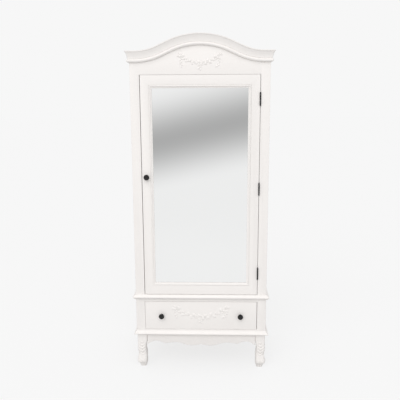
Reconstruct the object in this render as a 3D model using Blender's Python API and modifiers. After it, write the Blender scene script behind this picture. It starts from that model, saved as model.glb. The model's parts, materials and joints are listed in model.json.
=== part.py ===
"""Single-door mirrored wardrobe with one drawer, in the painted French country style.

The model stands on the floor plane with its origin under the middle of its bounding box. It faces -Y.
Three groups move against each other: the carcass, the door on three butt hinges, and the drawer.
"""
import math

import bmesh
import bpy

# ---- driving dimensions, in metres ---------------------------------------------------------------
CARCASS_WIDTH = 0.779          # over the two front stiles
CARCASS_DEPTH = 0.500          # from the stile faces to the back of the back panel
LEG_HEIGHT = 0.219             # floor to the underside of the base moulding
DRAWER_OPENING_HEIGHT = 0.177
DOOR_OPENING_HEIGHT = 1.279
FRIEZE_HEIGHT = 0.0655         # door opening to the underside of the cornice, at its flat ends

STILE_WIDTH = 0.053            # the fixed uprights beside the door
STILE_THICKNESS = 0.022
SIDE_THICKNESS = 0.018
BACK_THICKNESS = 0.005
SHELF_THICKNESS = 0.016        # top panel and cabinet floor
DUST_PANEL_THICKNESS = 0.012

FIT_GAP = 0.0003               # between pieces that are glued, screwed or resting together
EDGE_ROUND = 0.0012            # broken edges of the boards
THIN_EDGE_ROUND = 0.0004       # broken edges of the backing board and the strike plate

# ---- mouldings -----------------------------------------------------------------------------------
CORNICE_HEIGHT = 0.0625
CORNICE_REACH = 0.022          # how far each moulding stands out from the face
WAIST_MOULDING_HEIGHT = 0.028
WAIST_MOULDING_REACH = 0.017
BASE_MOULDING_HEIGHT = 0.029
BASE_MOULDING_REACH = 0.015
CORNICE_LIP = 0.004            # the boards behind the cornice stop this far below its top
WAIST_REVEAL = 0.016           # plain strip of rail seen under the waist moulding
BASE_REVEAL = 0.0025           # plain strip of rail seen over the base moulding
CREST_RADIUS = 0.375           # arch of the cornice's lower edge
SHOULDER_RADIUS = 0.360        # hollow curve between the arch and the flat ends
ARCH_SLOPE = 0.0576            # straight run that joins the arch to the hollow curve
ARCH_END_FLAT = 0.030          # flat run of the cornice beside the arch
ARC_STEPS = 10
MITRE_RELIEF = 0.7             # share of the fitting gap that each side of a mitre gives up
MOULDING_SMOOTH = math.radians(32)

# ---- door ----------------------------------------------------------------------------------------
DOOR_SET_FORWARD = 0.002       # the back of the door stands this far in front of the stiles' back
DOOR_STILE_WIDTH = 0.047       # flat of the door frame outside the mirror moulding
DOOR_TOP_RAIL = 0.052
DOOR_BOTTOM_RAIL = 0.054
MIRROR_MOULDING_WIDTH = 0.017
MIRROR_MOULDING_DEPTH = 0.010
MIRROR_MOULDING_PROUD = 0.001  # how far its bead stands in front of the door frame
MIRROR_BEAD_RADIUS = 0.0032
MIRROR_BEAD_INSET = 0.0050     # outer edge to the middle of the bead
MIRROR_GLASS_THICKNESS = 0.004
MIRROR_BACKING_THICKNESS = 0.003
KNOB_HEIGHT_IN_DOOR = 0.706    # above the bottom of the door
KNOB_INSET_IN_DOOR = 0.027     # from the door's free edge

# ---- hinges --------------------------------------------------------------------------------------
HINGE_LENGTH = 0.070
HINGE_LEAF_DEPTH = 0.017
HINGE_LEAF_THICKNESS = 0.0011
HINGE_LEAF_SPACING = 0.0003    # between the two closed leaves
HINGE_FROM_DOOR_END = 0.131    # door's top or bottom edge to the middle of the nearest hinge
KNUCKLE_RADIUS = 0.004
KNUCKLE_COUNT = 5
KNUCKLE_END_GAP = 0.0003
KNUCKLE_FACE_GAP = 0.0005      # barrel to the stile faces behind it
PIN_RADIUS = 0.0015
PIN_CLEARANCE = 0.0001         # running fit between the pin and the knuckles
PIN_HEAD_RADIUS = 0.0034
PIN_HEAD_HEIGHT = 0.0035

# ---- drawer --------------------------------------------------------------------------------------
DRAWER_GAP = 0.0025
DRAWER_SIDE_THICKNESS = 0.012
DRAWER_SIDE_DROP = 0.0415      # top of the drawer front to the top of the sides
DRAWER_BACK_CLEARANCE = 0.045  # back of the drawer to the inside of the back panel
DRAWER_SIDE_CLEARANCE = 0.005  # opening's edge to the drawer side
DRAWER_BOTTOM_THICKNESS = 0.006
DRAWER_BOTTOM_RAISE = 0.010
RUNNER_CLEARANCE = 0.0005
DRAWER_KNOB_SPACING = 0.472

# ---- knobs, rail and catch -----------------------------------------------------------------------
KNOB_RADIUS = 0.0165
KNOB_REACH = 0.029
KNOB_NECK_RADIUS = 0.0065
KNOB_FOOT_RADIUS = 0.0090
RAIL_RADIUS = 0.0125
RAIL_BELOW_TOP = 0.070
RAIL_FIT = 0.0004
SOCKET_FLANGE = 0.0095         # rim of the socket's plate beyond its cup
SOCKET_PLATE = 0.003
SOCKET_WALL = 0.0036
SOCKET_CUP_DEPTH = 0.014
CATCH_LENGTH = 0.044
CATCH_HEIGHT = 0.016
CATCH_DEPTH = 0.014
CATCH_IN_OPENING = 0.014       # how far the catch reaches behind the door
STRIKE_INSET = 0.0005          # from the door's free edge
STRIKE_LENGTH = 0.012
STRIKE_THICKNESS = 0.0012

# ---- legs and aprons -----------------------------------------------------------------------------
LEG_TOP_WIDTH = 0.060
LEG_INSET = 0.0015             # leg's outer faces behind the carcass faces
APRON_THICKNESS = 0.018
APRON_INSET = 0.009            # apron faces behind the carcass faces
SIDE_APRON_DEPTH = 0.050       # height of the plain aprons in the middle
SIDE_APRON_DROP = 0.014        # how much lower they end at the legs

# ---- applied carvings ----------------------------------------------------------------------------
CARVING_RELIEF = 0.007
FRIEZE_SWAG_HALF = 0.100       # middle of the carving to the middle of its end rosette
FRIEZE_SWAG_BELOW_CREST = 0.0589
FRIEZE_SWAG_SAG = 0.034
DRAWER_SWAG_HALF = 0.150
DRAWER_SWAG_RAISE = 0.044      # end rosettes over the middle of the drawer front
DRAWER_SWAG_SAG = 0.062

# ---- positions that follow -----------------------------------------------------------------------
HALF_WIDTH = CARCASS_WIDTH / 2
OPENING_HALF = HALF_WIDTH - STILE_WIDTH
INNER_HALF = HALF_WIDTH - SIDE_THICKNESS
FRONT_REACH = max(KNOB_REACH, CORNICE_REACH)
FACE_Y = -(CARCASS_DEPTH - FRONT_REACH) / 2
BACK_Y = FACE_Y + CARCASS_DEPTH
FRAME_BACK_Y = FACE_Y + STILE_THICKNESS
INSIDE_BACK_Y = BACK_Y - BACK_THICKNESS

BASE_Z = LEG_HEIGHT
DRAWER_LOW_Z = BASE_Z + BASE_MOULDING_HEIGHT + BASE_REVEAL
DRAWER_HIGH_Z = DRAWER_LOW_Z + DRAWER_OPENING_HEIGHT
WAIST_Z = DRAWER_HIGH_Z + WAIST_REVEAL
DOOR_LOW_Z = WAIST_Z + WAIST_MOULDING_HEIGHT
DOOR_HIGH_Z = DOOR_LOW_Z + DOOR_OPENING_HEIGHT
CORNICE_Z = DOOR_HIGH_Z + FRIEZE_HEIGHT
CARCASS_TOP_Z = CORNICE_Z + CORNICE_HEIGHT - CORNICE_LIP

ARCH_HALF_SPAN = HALF_WIDTH - ARCH_END_FLAT
ARCH_REACH = math.hypot(CREST_RADIUS + SHOULDER_RADIUS, ARCH_SLOPE)
ARCH_TURN = (math.asin(ARCH_HALF_SPAN / ARCH_REACH)
             - math.atan2(ARCH_SLOPE, CREST_RADIUS + SHOULDER_RADIUS))
ARCH_RISE = ((CREST_RADIUS + SHOULDER_RADIUS) * (1 - math.cos(ARCH_TURN))
             + ARCH_SLOPE * math.sin(ARCH_TURN))
CREST_Z = CORNICE_Z + ARCH_RISE

DOOR_GAP = 2 * (HINGE_LEAF_THICKNESS + FIT_GAP) + HINGE_LEAF_SPACING
DOOR_THICKNESS = STILE_THICKNESS - DOOR_SET_FORWARD
HINGE_X = OPENING_HALF - DOOR_GAP / 2
HINGE_Y = FACE_Y - KNUCKLE_RADIUS - KNUCKLE_FACE_GAP
DOOR_HALF = OPENING_HALF - DOOR_GAP
DOOR_BOTTOM_Z = DOOR_LOW_Z + DOOR_GAP
DOOR_TOP_Z = DOOR_HIGH_Z - DOOR_GAP
DOOR_BACK_Y = FACE_Y + DOOR_THICKNESS
KNOB_X = -(DOOR_HALF - KNOB_INSET_IN_DOOR)
KNOB_Z = DOOR_BOTTOM_Z + KNOB_HEIGHT_IN_DOOR

SIDES = (("left", -1), ("right", 1))
UPRIGHT = (math.pi / 2, 0.0, 0.0)      # turns a flat drawing up to stand in the XZ plane, facing -Y

# name: (colour, roughness, metallic)
FINISHES = {
    "white_paint": ((0.85, 0.84, 0.81), 0.42, 0.0),
    "black_metal": ((0.012, 0.012, 0.013), 0.38, 1.0),
    "silvered_glass": ((0.80, 0.82, 0.83), 0.03, 1.0),
    "chromed_tube": ((0.60, 0.61, 0.62), 0.12, 1.0),
    "drawer_wood": ((0.58, 0.42, 0.26), 0.60, 0.0),
    "backing_board": ((0.30, 0.20, 0.12), 0.80, 0.0),
    "brown_plastic": ((0.10, 0.06, 0.04), 0.50, 0.0),
}


# ---- scene and material helpers ------------------------------------------------------------------
def clear_scene():
    """Remove every object, so that the script can be run again from the text editor."""
    for leftover in list(bpy.data.objects):
        bpy.data.objects.remove(leftover, do_unlink=True)


def new_collection(name):
    """A collection linked to the scene."""
    group = bpy.data.collections.new(name)
    bpy.context.scene.collection.children.link(group)
    return group


def give_finish(piece, finish):
    """Give a piece its own Principled material in one of the named finishes."""
    colour, roughness, metallic = FINISHES[finish]
    material = bpy.data.materials.new(piece.name + "_" + finish)
    material.use_nodes = True
    shader = material.node_tree.nodes["Principled BSDF"]
    shader.inputs["Base Color"].default_value = (*colour, 1.0)
    shader.inputs["Roughness"].default_value = roughness
    shader.inputs["Metallic"].default_value = metallic
    piece.data.materials.clear()
    piece.data.materials.append(material)


def add_piece(name, mesh, finish, smooth_angle=None):
    """Put a mesh in the wardrobe's collection as a finished piece."""
    piece = bpy.data.objects.new(name, mesh)
    WARDROBE.objects.link(piece)
    give_finish(piece, finish)
    if smooth_angle is not None:
        mesh.shade_smooth()
        mesh.set_sharp_from_angle(angle=smooth_angle)
    return piece


def add_cutter(name, mesh, location):
    """A wire-display helper that only cuts or joins."""
    cutter = bpy.data.objects.new(name, mesh)
    cutter.location = location
    cutter.hide_render = True
    cutter.display_type = "WIRE"
    CUTTERS.objects.link(cutter)
    return cutter


def add_boolean(piece, cutter, operation):
    """Cut or join with the exact solver."""
    step = piece.modifiers.new(cutter.name, "BOOLEAN")
    step.operation = operation
    step.solver = "EXACT"
    step.object = cutter


def add_pivot(name, location):
    """An empty on a moving group's axis."""
    pivot = bpy.data.objects.new(name, None)
    pivot.location = location
    WARDROBE.objects.link(pivot)
    return pivot


def hang_on(pivot, pieces):
    """Parent pieces to a pivot without moving them."""
    for piece in pieces:
        piece.location = piece.location - pivot.location
        piece.parent = pivot
    return pieces


# ---- shape helpers -------------------------------------------------------------------------------
def board(name, finish, low, high, edge=EDGE_ROUND):
    """A rectangular board between two corners, with its edges broken."""
    size = [top - bottom for bottom, top in zip(low, high)]
    shape = bmesh.new()
    bmesh.ops.create_cube(shape, size=1.0)
    bmesh.ops.scale(shape, vec=size, verts=shape.verts)
    mesh = bpy.data.meshes.new(name)
    shape.to_mesh(mesh)
    shape.free()
    piece = add_piece(name, mesh, finish)
    piece.location = [(bottom + top) / 2 for bottom, top in zip(low, high)]
    bevel = piece.modifiers.new("broken edges", "BEVEL")
    bevel.width = edge
    bevel.segments = 1
    return piece


def arc_points(centre, radius, start_degrees, end_degrees, steps=5):
    """Points on an arc, both ends included."""
    points = []
    for step in range(steps + 1):
        angle = math.radians(start_degrees + (end_degrees - start_degrees) * step / steps)
        points.append((centre[0] + radius * math.cos(angle), centre[1] + radius * math.sin(angle)))
    return points


def flat_curve(name, outlines, half_thickness=0.0, closed=True):
    """A 2D curve from one outline or several, the later ones being holes."""
    curve = bpy.data.curves.new(name, "CURVE")
    curve.dimensions = "2D"
    curve.fill_mode = "BOTH" if half_thickness else "NONE"
    curve.extrude = half_thickness
    for outline in outlines:
        spline = curve.splines.new("POLY")
        spline.points.add(len(outline) - 1)
        spline.use_cyclic_u = closed
        for point, (across, along) in zip(spline.points, outline):
            point.co = (across, along, 0.0, 1.0)
    return bpy.data.objects.new(name, curve)


def mesh_from_curve(name, source):
    """Turn a curve object into a welded mesh and remove the curve."""
    bpy.context.scene.collection.objects.link(source)
    graph = bpy.context.evaluated_depsgraph_get()
    mesh = bpy.data.meshes.new_from_object(source.evaluated_get(graph))
    mesh.name = name
    bpy.data.objects.remove(source, do_unlink=True)
    shape = bmesh.new()
    shape.from_mesh(mesh)
    bmesh.ops.remove_doubles(shape, verts=shape.verts, dist=0.00001)
    bmesh.ops.recalc_face_normals(shape, faces=shape.faces)
    shape.to_mesh(mesh)
    shape.free()
    return mesh


def extruded(name, finish, outlines, thickness, smooth_angle=None):
    """A flat outline with a thickness, centred on the drawing plane."""
    mesh = mesh_from_curve(name, flat_curve(name, outlines, thickness / 2))
    return add_piece(name, mesh, finish, smooth_angle)


def turned(name, finish, profile, steps):
    """A turned shape round local Z: its profile runs down the outer side, from (radius, height) pairs."""
    shape = bmesh.new()
    corners = [shape.verts.new((radius, 0.0, height)) for radius, height in profile]
    for upper, lower in zip(corners, corners[1:]):
        shape.edges.new((upper, lower))
    mesh = bpy.data.meshes.new(name)
    shape.to_mesh(mesh)
    shape.free()
    piece = add_piece(name, mesh, finish)
    screw = piece.modifiers.new("turning", "SCREW")
    screw.axis = "Z"
    screw.steps = steps
    screw.render_steps = steps
    screw.use_merge_vertices = True
    screw.merge_threshold = 0.00001
    screw.use_smooth_shade = True
    return piece


def cylinder_mesh(name, radius, height, segments):
    """A closed cylinder along local Z, for a helper that cuts or joins."""
    shape = bmesh.new()
    bmesh.ops.create_cone(shape, cap_ends=True, segments=segments, radius1=radius, radius2=radius,
                          depth=height)
    mesh = bpy.data.meshes.new(name)
    shape.to_mesh(mesh)
    shape.free()
    return mesh


def ease(start, end, steps, start_flat, end_flat):
    """Points from start to end, level at the ends that are flat and sloping at the others."""
    points = []
    for step in range(steps):
        share = step / steps
        if start_flat and end_flat:
            blend = (1 - math.cos(math.pi * share)) / 2
        elif start_flat:
            blend = 1 - math.cos(math.pi / 2 * share)
        else:
            blend = math.sin(math.pi / 2 * share)
        points.append((start[0] + (end[0] - start[0]) * share, start[1] + (end[1] - start[1]) * blend))
    return points


# ---- moulding profiles: (reach out from the face, height above the lower edge) --------------------
def cornice_profile():
    """Half-round bead, hollow fascia that leans out gently, and thin square top fillet."""
    bead_radius = 0.0095
    bead_back = 0.0040
    fascia_foot = (0.0082, 2 * bead_radius + 0.0012)
    fillet_height = 0.0055
    fillet_overhang = 0.0030
    fascia_steps = 4
    hollow_power = 1.6
    fillet_low = CORNICE_HEIGHT - fillet_height
    fascia_top = (CORNICE_REACH - fillet_overhang, fillet_low - fillet_overhang / 2)
    bead = arc_points((bead_back, bead_radius), bead_radius, -70, 75)
    fascia = [(fascia_foot[0] + (fascia_top[0] - fascia_foot[0]) * (step / fascia_steps) ** hollow_power,
               fascia_foot[1] + (fascia_top[1] - fascia_foot[1]) * step / fascia_steps)
              for step in range(fascia_steps + 1)]
    return ([(FIT_GAP, 0.0)] + bead + fascia
            + [(CORNICE_REACH, fillet_low), (CORNICE_REACH, CORNICE_HEIGHT), (FIT_GAP, CORNICE_HEIGHT)])


def waist_profile():
    """Rounded nose set low, with a small cove under it and a slope over it."""
    nose_radius = 0.0070
    nose_below_top = 0.0142
    cove_radius = 0.0055
    cove_low = 0.0012
    foot_reach = 0.0070
    slope_top = (0.0030, WAIST_MOULDING_HEIGHT - 0.0010)
    cove = arc_points((foot_reach + cove_radius, cove_low), cove_radius, 180, 100, 3)
    nose = arc_points((WAIST_MOULDING_REACH - nose_radius, WAIST_MOULDING_HEIGHT - nose_below_top),
                      nose_radius, -85, 62, 6)
    return [(FIT_GAP, 0.0), (foot_reach, 0.0)] + cove + nose + [slope_top, (FIT_GAP, WAIST_MOULDING_HEIGHT)]


def base_profile():
    """Small rounded nose, with a long hollow that rises to the face."""
    nose_radius = 0.0055
    hollow_low = 0.0125
    hollow_reach = 0.0084
    top_reach = 0.0012
    hollow_below_top = 0.0020
    hollow_steps = 4
    rise = BASE_MOULDING_HEIGHT - hollow_below_top - hollow_low
    nose = arc_points((BASE_MOULDING_REACH - nose_radius, nose_radius), nose_radius, -88, 88, 6)
    hollow = [(hollow_reach - (hollow_reach - top_reach) * math.sin(math.pi / 2 * step / hollow_steps),
               hollow_low + rise * step / hollow_steps) for step in range(hollow_steps + 1)]
    return ([(FIT_GAP, 0.0)] + nose + hollow
            + [(top_reach, BASE_MOULDING_HEIGHT), (FIT_GAP, BASE_MOULDING_HEIGHT)])


def moulding_run(name, profile, length, facing_degrees, centre, start_mitre, end_mitre):
    """A straight moulding; a mitred end is cut at 45 degrees by moving its points by their own reach."""
    mesh = mesh_from_curve(name, flat_curve(name, [profile], length / 2))
    relief = FIT_GAP * MITRE_RELIEF
    for corner in mesh.vertices:
        if corner.co.z > 0 and end_mitre:
            corner.co.z += corner.co.x - relief
        elif corner.co.z < 0 and start_mitre:
            corner.co.z -= corner.co.x - relief
    piece = add_piece(name, mesh, "white_paint", MOULDING_SMOOTH)
    piece.location = centre
    piece.rotation_euler = (math.pi / 2, 0.0, math.radians(facing_degrees))
    return piece


def moulding_band(stem, profile, height, with_front=True):
    """A moulding round the front and both sides of the carcass, mitred at the corners."""
    pieces = []
    middle_y = (FACE_Y + BACK_Y) / 2
    if with_front:
        front_at = (0.0, FACE_Y, height)
        pieces.append(moulding_run(stem + "_front", profile, CARCASS_WIDTH, -90, front_at, True, True))
    pieces.append(moulding_run(stem + "_left", profile, CARCASS_DEPTH, 180,
                               (-HALF_WIDTH, middle_y, height), True, False))
    pieces.append(moulding_run(stem + "_right", profile, CARCASS_DEPTH, 0,
                               (HALF_WIDTH, middle_y, height), False, True))
    return pieces


# ---- the arched front ----------------------------------------------------------------------------
def arch_line(offset, half_length):
    """The cornice's lower edge moved up square to itself by an offset, from the left end to the right."""
    crest_centre_z = CREST_Z - CREST_RADIUS
    shoulder_z = CORNICE_Z + SHOULDER_RADIUS
    right = []
    for step in range(1, ARC_STEPS + 1):
        turn = ARCH_TURN * step / ARC_STEPS
        right.append(((CREST_RADIUS + offset) * math.sin(turn),
                      crest_centre_z + (CREST_RADIUS + offset) * math.cos(turn)))
    shoulder_steps = ARC_STEPS // 2
    for step in range(shoulder_steps + 1):
        turn = ARCH_TURN * (1 - step / shoulder_steps)
        right.append((ARCH_HALF_SPAN - (SHOULDER_RADIUS - offset) * math.sin(turn),
                      shoulder_z - (SHOULDER_RADIUS - offset) * math.cos(turn)))
    if half_length > ARCH_HALF_SPAN:
        right.append((half_length, CORNICE_Z + offset))
    crown = (0.0, CREST_Z + offset)
    left = [(-across, up) for across, up in reversed(right)]
    return left + [crown] + right


def cornice_front():
    """The arched moulding: its profile swept along the arch, with mitred ends."""
    section = flat_curve("cornice_section", [[(-up, out) for out, up in cornice_profile()]])
    bpy.context.scene.collection.objects.link(section)
    path = flat_curve("cornice_path", [arch_line(0.0, HALF_WIDTH)], closed=False)
    path.data.bevel_mode = "OBJECT"
    path.data.bevel_object = section
    path.data.use_fill_caps = True
    mesh = mesh_from_curve("cornice_front", path)
    bpy.data.objects.remove(section, do_unlink=True)
    relief = FIT_GAP * MITRE_RELIEF
    for corner in mesh.vertices:
        if abs(corner.co.x) > HALF_WIDTH - FIT_GAP:
            corner.co.x += math.copysign(corner.co.z - relief, corner.co.x)
    piece = add_piece("cornice_front", mesh, "white_paint", MOULDING_SMOOTH)
    piece.location = (0.0, FACE_Y, 0.0)
    piece.rotation_euler = UPRIGHT
    return piece


def frieze_board():
    """The board over the door, its top following the arch behind the cornice."""
    reach = OPENING_HALF - FIT_GAP
    top = arch_line(CORNICE_HEIGHT - CORNICE_LIP, reach)
    top = [point for point in top if abs(point[0]) < reach]
    shoulder_z = CORNICE_Z + CORNICE_HEIGHT - CORNICE_LIP
    outline = ([(reach, DOOR_HIGH_Z), (reach, shoulder_z)] + list(reversed(top))
               + [(-reach, shoulder_z), (-reach, DOOR_HIGH_Z)])
    piece = extruded("frieze_board", "white_paint", [outline], STILE_THICKNESS)
    piece.location = (0.0, FACE_Y + STILE_THICKNESS / 2, 0.0)
    piece.rotation_euler = UPRIGHT
    return piece


# ---- carcass -------------------------------------------------------------------------------------
def carcass_sides():
    """Side panels and the front stiles that cover their front edges."""
    pieces = []
    for side, sign in SIDES:
        panel_x = sorted((sign * INNER_HALF, sign * HALF_WIDTH))
        pieces.append(board("side_panel_" + side, "white_paint",
                            (panel_x[0], FRAME_BACK_Y + FIT_GAP, BASE_Z),
                            (panel_x[1], BACK_Y, CARCASS_TOP_Z)))
        stile_x = sorted((sign * OPENING_HALF, sign * HALF_WIDTH))
        pieces.append(board("front_stile_" + side, "white_paint",
                            (stile_x[0], FACE_Y, BASE_Z),
                            (stile_x[1], FRAME_BACK_Y, CARCASS_TOP_Z)))
    return pieces


def front_rails():
    """The rails under the drawer and between the drawer and the door."""
    reach = OPENING_HALF - FIT_GAP
    return [
        board("base_rail", "white_paint", (-reach, FACE_Y, BASE_Z), (reach, FRAME_BACK_Y, DRAWER_LOW_Z)),
        board("waist_rail", "white_paint",
              (-reach, FACE_Y, DRAWER_HIGH_Z), (reach, FRAME_BACK_Y, DOOR_LOW_Z)),
    ]


def inner_boards():
    """Top panel, cabinet floor, dust panel and back panel."""
    reach = INNER_HALF - FIT_GAP
    front = FRAME_BACK_Y + FIT_GAP
    back = INSIDE_BACK_Y - FIT_GAP
    floor_top = DOOR_LOW_Z - EDGE_ROUND
    return [
        board("top_panel", "white_paint",
              (-reach, front, CORNICE_Z), (reach, back, CORNICE_Z + SHELF_THICKNESS)),
        board("cabinet_floor", "white_paint",
              (-reach, front, floor_top - SHELF_THICKNESS), (reach, back, floor_top)),
        board("dust_panel", "backing_board",
              (-reach, front, BASE_Z), (reach, back, BASE_Z + DUST_PANEL_THICKNESS)),
        board("back_panel", "backing_board",
              (-reach, INSIDE_BACK_Y, BASE_Z), (reach, BACK_Y, CARCASS_TOP_Z)),
    ]


def drawer_runners():
    """Wooden strips on the dust panel that carry the drawer sides."""
    pieces = []
    inner_edge = OPENING_HALF - DRAWER_SIDE_CLEARANCE - DRAWER_SIDE_THICKNESS
    for side, sign in SIDES:
        span = sorted((sign * inner_edge, sign * (INNER_HALF - FIT_GAP)))
        pieces.append(board("drawer_runner_" + side, "drawer_wood",
                            (span[0], FRAME_BACK_Y + FIT_GAP, BASE_Z + DUST_PANEL_THICKNESS + FIT_GAP),
                            (span[1], INSIDE_BACK_Y - FIT_GAP, DRAWER_LOW_Z + DRAWER_GAP)))
    return pieces


# ---- legs and aprons -----------------------------------------------------------------------------
# (share of the leg's height, share of its width at the top, lean towards the outer corner)
LEG_SECTIONS = (
    (1.000, 1.000, 0.0000),
    (0.780, 0.993, 0.0003),
    (0.640, 0.883, 0.0034),
    (0.550, 0.877, 0.0040),
    (0.455, 0.893, 0.0016),
    (0.390, 0.887, 0.0000),
    (0.300, 0.943, 0.0014),
    (0.185, 1.013, 0.0034),
    (0.137, 0.987, 0.0025),
    (0.100, 0.860, -0.0006),
    (0.055, 0.717, -0.0014),
    (0.000, 0.593, -0.0014),
)
LEG_CORNER_POINTS = 3          # points round each corner of a leg section
LEG_CORNER_SHARE = 0.42        # corner radius as a share of the section's half width


def rounded_square(half, corner_radius):
    """A square outline with round corners."""
    points = []
    flat = half - corner_radius
    for quarter, (across, along) in enumerate(((flat, flat), (-flat, flat), (-flat, -flat), (flat, -flat))):
        start = quarter * 90
        points += arc_points((across, along), corner_radius, start, start + 90, LEG_CORNER_POINTS)
    return points


def cabriole_leg(name, side_sign, depth_sign):
    """A short curved leg lofted through rounded square sections.

    It leans out to its corner, but never behind the back, so that the wardrobe can stand at a wall.
    """
    shape = bmesh.new()
    rings = []
    height = LEG_HEIGHT - FIT_GAP
    for share, width_share, lean in LEG_SECTIONS:
        half = width_share * LEG_TOP_WIDTH / 2
        lean_x = side_sign * lean
        lean_y = min(depth_sign, 0) * lean
        ring = [shape.verts.new((across + lean_x, along + lean_y, share * height))
                for across, along in rounded_square(half, half * LEG_CORNER_SHARE)]
        rings.append([shape.edges.new((ring[i - 1], ring[i])) for i in range(len(ring))])
    for upper, lower in zip(rings, rings[1:]):
        bmesh.ops.bridge_loops(shape, edges=upper + lower)
    bmesh.ops.contextual_create(shape, geom=rings[0])
    bmesh.ops.contextual_create(shape, geom=rings[-1])
    bmesh.ops.recalc_face_normals(shape, faces=shape.faces)
    mesh = bpy.data.meshes.new(name)
    shape.to_mesh(mesh)
    shape.free()
    piece = add_piece(name, mesh, "white_paint", math.radians(40))
    reach = LEG_INSET + LEG_TOP_WIDTH / 2
    face = FACE_Y if depth_sign < 0 else BACK_Y
    piece.location = (side_sign * (HALF_WIDTH - reach), face - depth_sign * reach, 0.0)
    return piece


def legs():
    """Four legs, one under each corner."""
    pieces = []
    for place, depth_sign in (("front", -1), ("rear", 1)):
        for side, sign in SIDES:
            pieces.append(cabriole_leg("leg_" + place + "_" + side, sign, depth_sign))
    return pieces


def front_apron():
    """The scalloped board between the front legs.

    The middle lobes keep their distance from the middle, and the outer scallops theirs from the legs.
    """
    reach = HALF_WIDTH - LEG_INSET - LEG_TOP_WIDTH - FIT_GAP
    notch = (0.0, LEG_HEIGHT - 0.070)
    lobe = (0.060, LEG_HEIGHT - 0.079)
    rise = (reach - 0.1727, LEG_HEIGHT - 0.058)
    cusp = (reach - 0.1077, LEG_HEIGHT - 0.067)
    crown = (reach - 0.0527, LEG_HEIGHT - 0.0495)
    end = (reach, LEG_HEIGHT - 0.074)
    right = (ease(notch, lobe, 4, False, True) + ease(lobe, rise, 6, True, True)
             + ease(rise, cusp, 4, True, False) + ease(cusp, crown, 4, False, True)
             + ease(crown, end, 5, True, False) + [end])
    left = [(-across, up) for across, up in reversed(right[1:])]
    top = LEG_HEIGHT - FIT_GAP
    outline = left + right + [(reach, top), (-reach, top)]
    piece = extruded("apron_front", "white_paint", [outline], APRON_THICKNESS)
    piece.location = (0.0, FACE_Y + APRON_INSET + APRON_THICKNESS / 2, 0.0)
    piece.rotation_euler = UPRIGHT
    return piece


def side_aprons():
    """Plain arched boards between the front and rear legs."""
    pieces = []
    middle_y = (FACE_Y + BACK_Y) / 2
    reach = CARCASS_DEPTH / 2 - LEG_INSET - LEG_TOP_WIDTH - FIT_GAP
    top = LEG_HEIGHT - FIT_GAP
    middle = (0.0, LEG_HEIGHT - SIDE_APRON_DEPTH)
    end = (reach, LEG_HEIGHT - SIDE_APRON_DEPTH - SIDE_APRON_DROP)
    half = ease(middle, end, 8, True, False) + [end]
    outline = [(-across, up) for across, up in reversed(half[1:])] + half + [(reach, top), (-reach, top)]
    for side, sign in SIDES:
        piece = extruded("apron_" + side, "white_paint", [outline], APRON_THICKNESS)
        piece.location = (sign * (HALF_WIDTH - APRON_INSET - APRON_THICKNESS / 2), middle_y, 0.0)
        piece.rotation_euler = (math.pi / 2, 0.0, math.pi / 2)
        pieces.append(piece)
    return pieces


# ---- hanging rail --------------------------------------------------------------------------------
def hanging_rail():
    """A chromed rail with a turned socket screwed to each side panel."""
    rail_y = (FRAME_BACK_Y + INSIDE_BACK_Y) / 2
    rail_z = CORNICE_Z - RAIL_BELOW_TOP
    half = INNER_HALF - SOCKET_PLATE - FIT_GAP
    curve = bpy.data.curves.new("hanging_rail", "CURVE")
    curve.dimensions = "3D"
    curve.bevel_depth = RAIL_RADIUS
    curve.bevel_resolution = 4
    curve.use_fill_caps = True
    spline = curve.splines.new("POLY")
    spline.points.add(1)
    spline.points[0].co = (-half, 0.0, 0.0, 1.0)
    spline.points[1].co = (half, 0.0, 0.0, 1.0)
    mesh = mesh_from_curve("hanging_rail", bpy.data.objects.new("hanging_rail", curve))
    rail = add_piece("hanging_rail", mesh, "chromed_tube", math.radians(40))
    rail.location = (0.0, rail_y, rail_z)
    pieces = [rail]
    bore = RAIL_RADIUS + RAIL_FIT
    cup = bore + SOCKET_WALL
    flange = cup + SOCKET_FLANGE
    profile = [(bore, SOCKET_CUP_DEPTH), (cup, SOCKET_CUP_DEPTH), (cup, SOCKET_PLATE),
               (flange, SOCKET_PLATE), (flange, FIT_GAP), (0.0, FIT_GAP)]
    inside = [(0.0, SOCKET_PLATE - FIT_GAP), (bore, SOCKET_PLATE - FIT_GAP)]
    for side, sign in SIDES:
        socket = turned("rail_socket_" + side, "chromed_tube", inside + profile, 24)
        socket.location = (sign * INNER_HALF, rail_y, rail_z)
        socket.rotation_euler = (0.0, -sign * math.pi / 2, 0.0)
        pieces.append(socket)
    return pieces


# ---- catch ---------------------------------------------------------------------------------------
def magnetic_catch():
    """The magnet block behind the left stile, which the door closes against."""
    inner = -(OPENING_HALF - CATCH_IN_OPENING)
    return board("magnetic_catch", "brown_plastic",
                 (inner - CATCH_LENGTH, FRAME_BACK_Y + FIT_GAP, KNOB_Z - CATCH_HEIGHT / 2),
                 (inner, FRAME_BACK_Y + FIT_GAP + CATCH_DEPTH, KNOB_Z + CATCH_HEIGHT / 2))


# ---- hinges --------------------------------------------------------------------------------------
def leaf_outline(sign):
    """A hinge leaf seen along its pin: the rolled barrel and the flat leaf running back from it."""
    near = sign * HINGE_LEAF_SPACING / 2
    far = sign * (HINGE_LEAF_SPACING / 2 + HINGE_LEAF_THICKNESS)
    start = math.degrees(math.acos(far / KNUCKLE_RADIUS))
    end = math.degrees(math.acos(near / KNUCKLE_RADIUS)) - sign * 360
    barrel = arc_points((0.0, 0.0), KNUCKLE_RADIUS, start, end, 18)
    tip = KNUCKLE_RADIUS + KNUCKLE_FACE_GAP + HINGE_LEAF_DEPTH
    return barrel + [(near, tip), (far, tip)]


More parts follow.
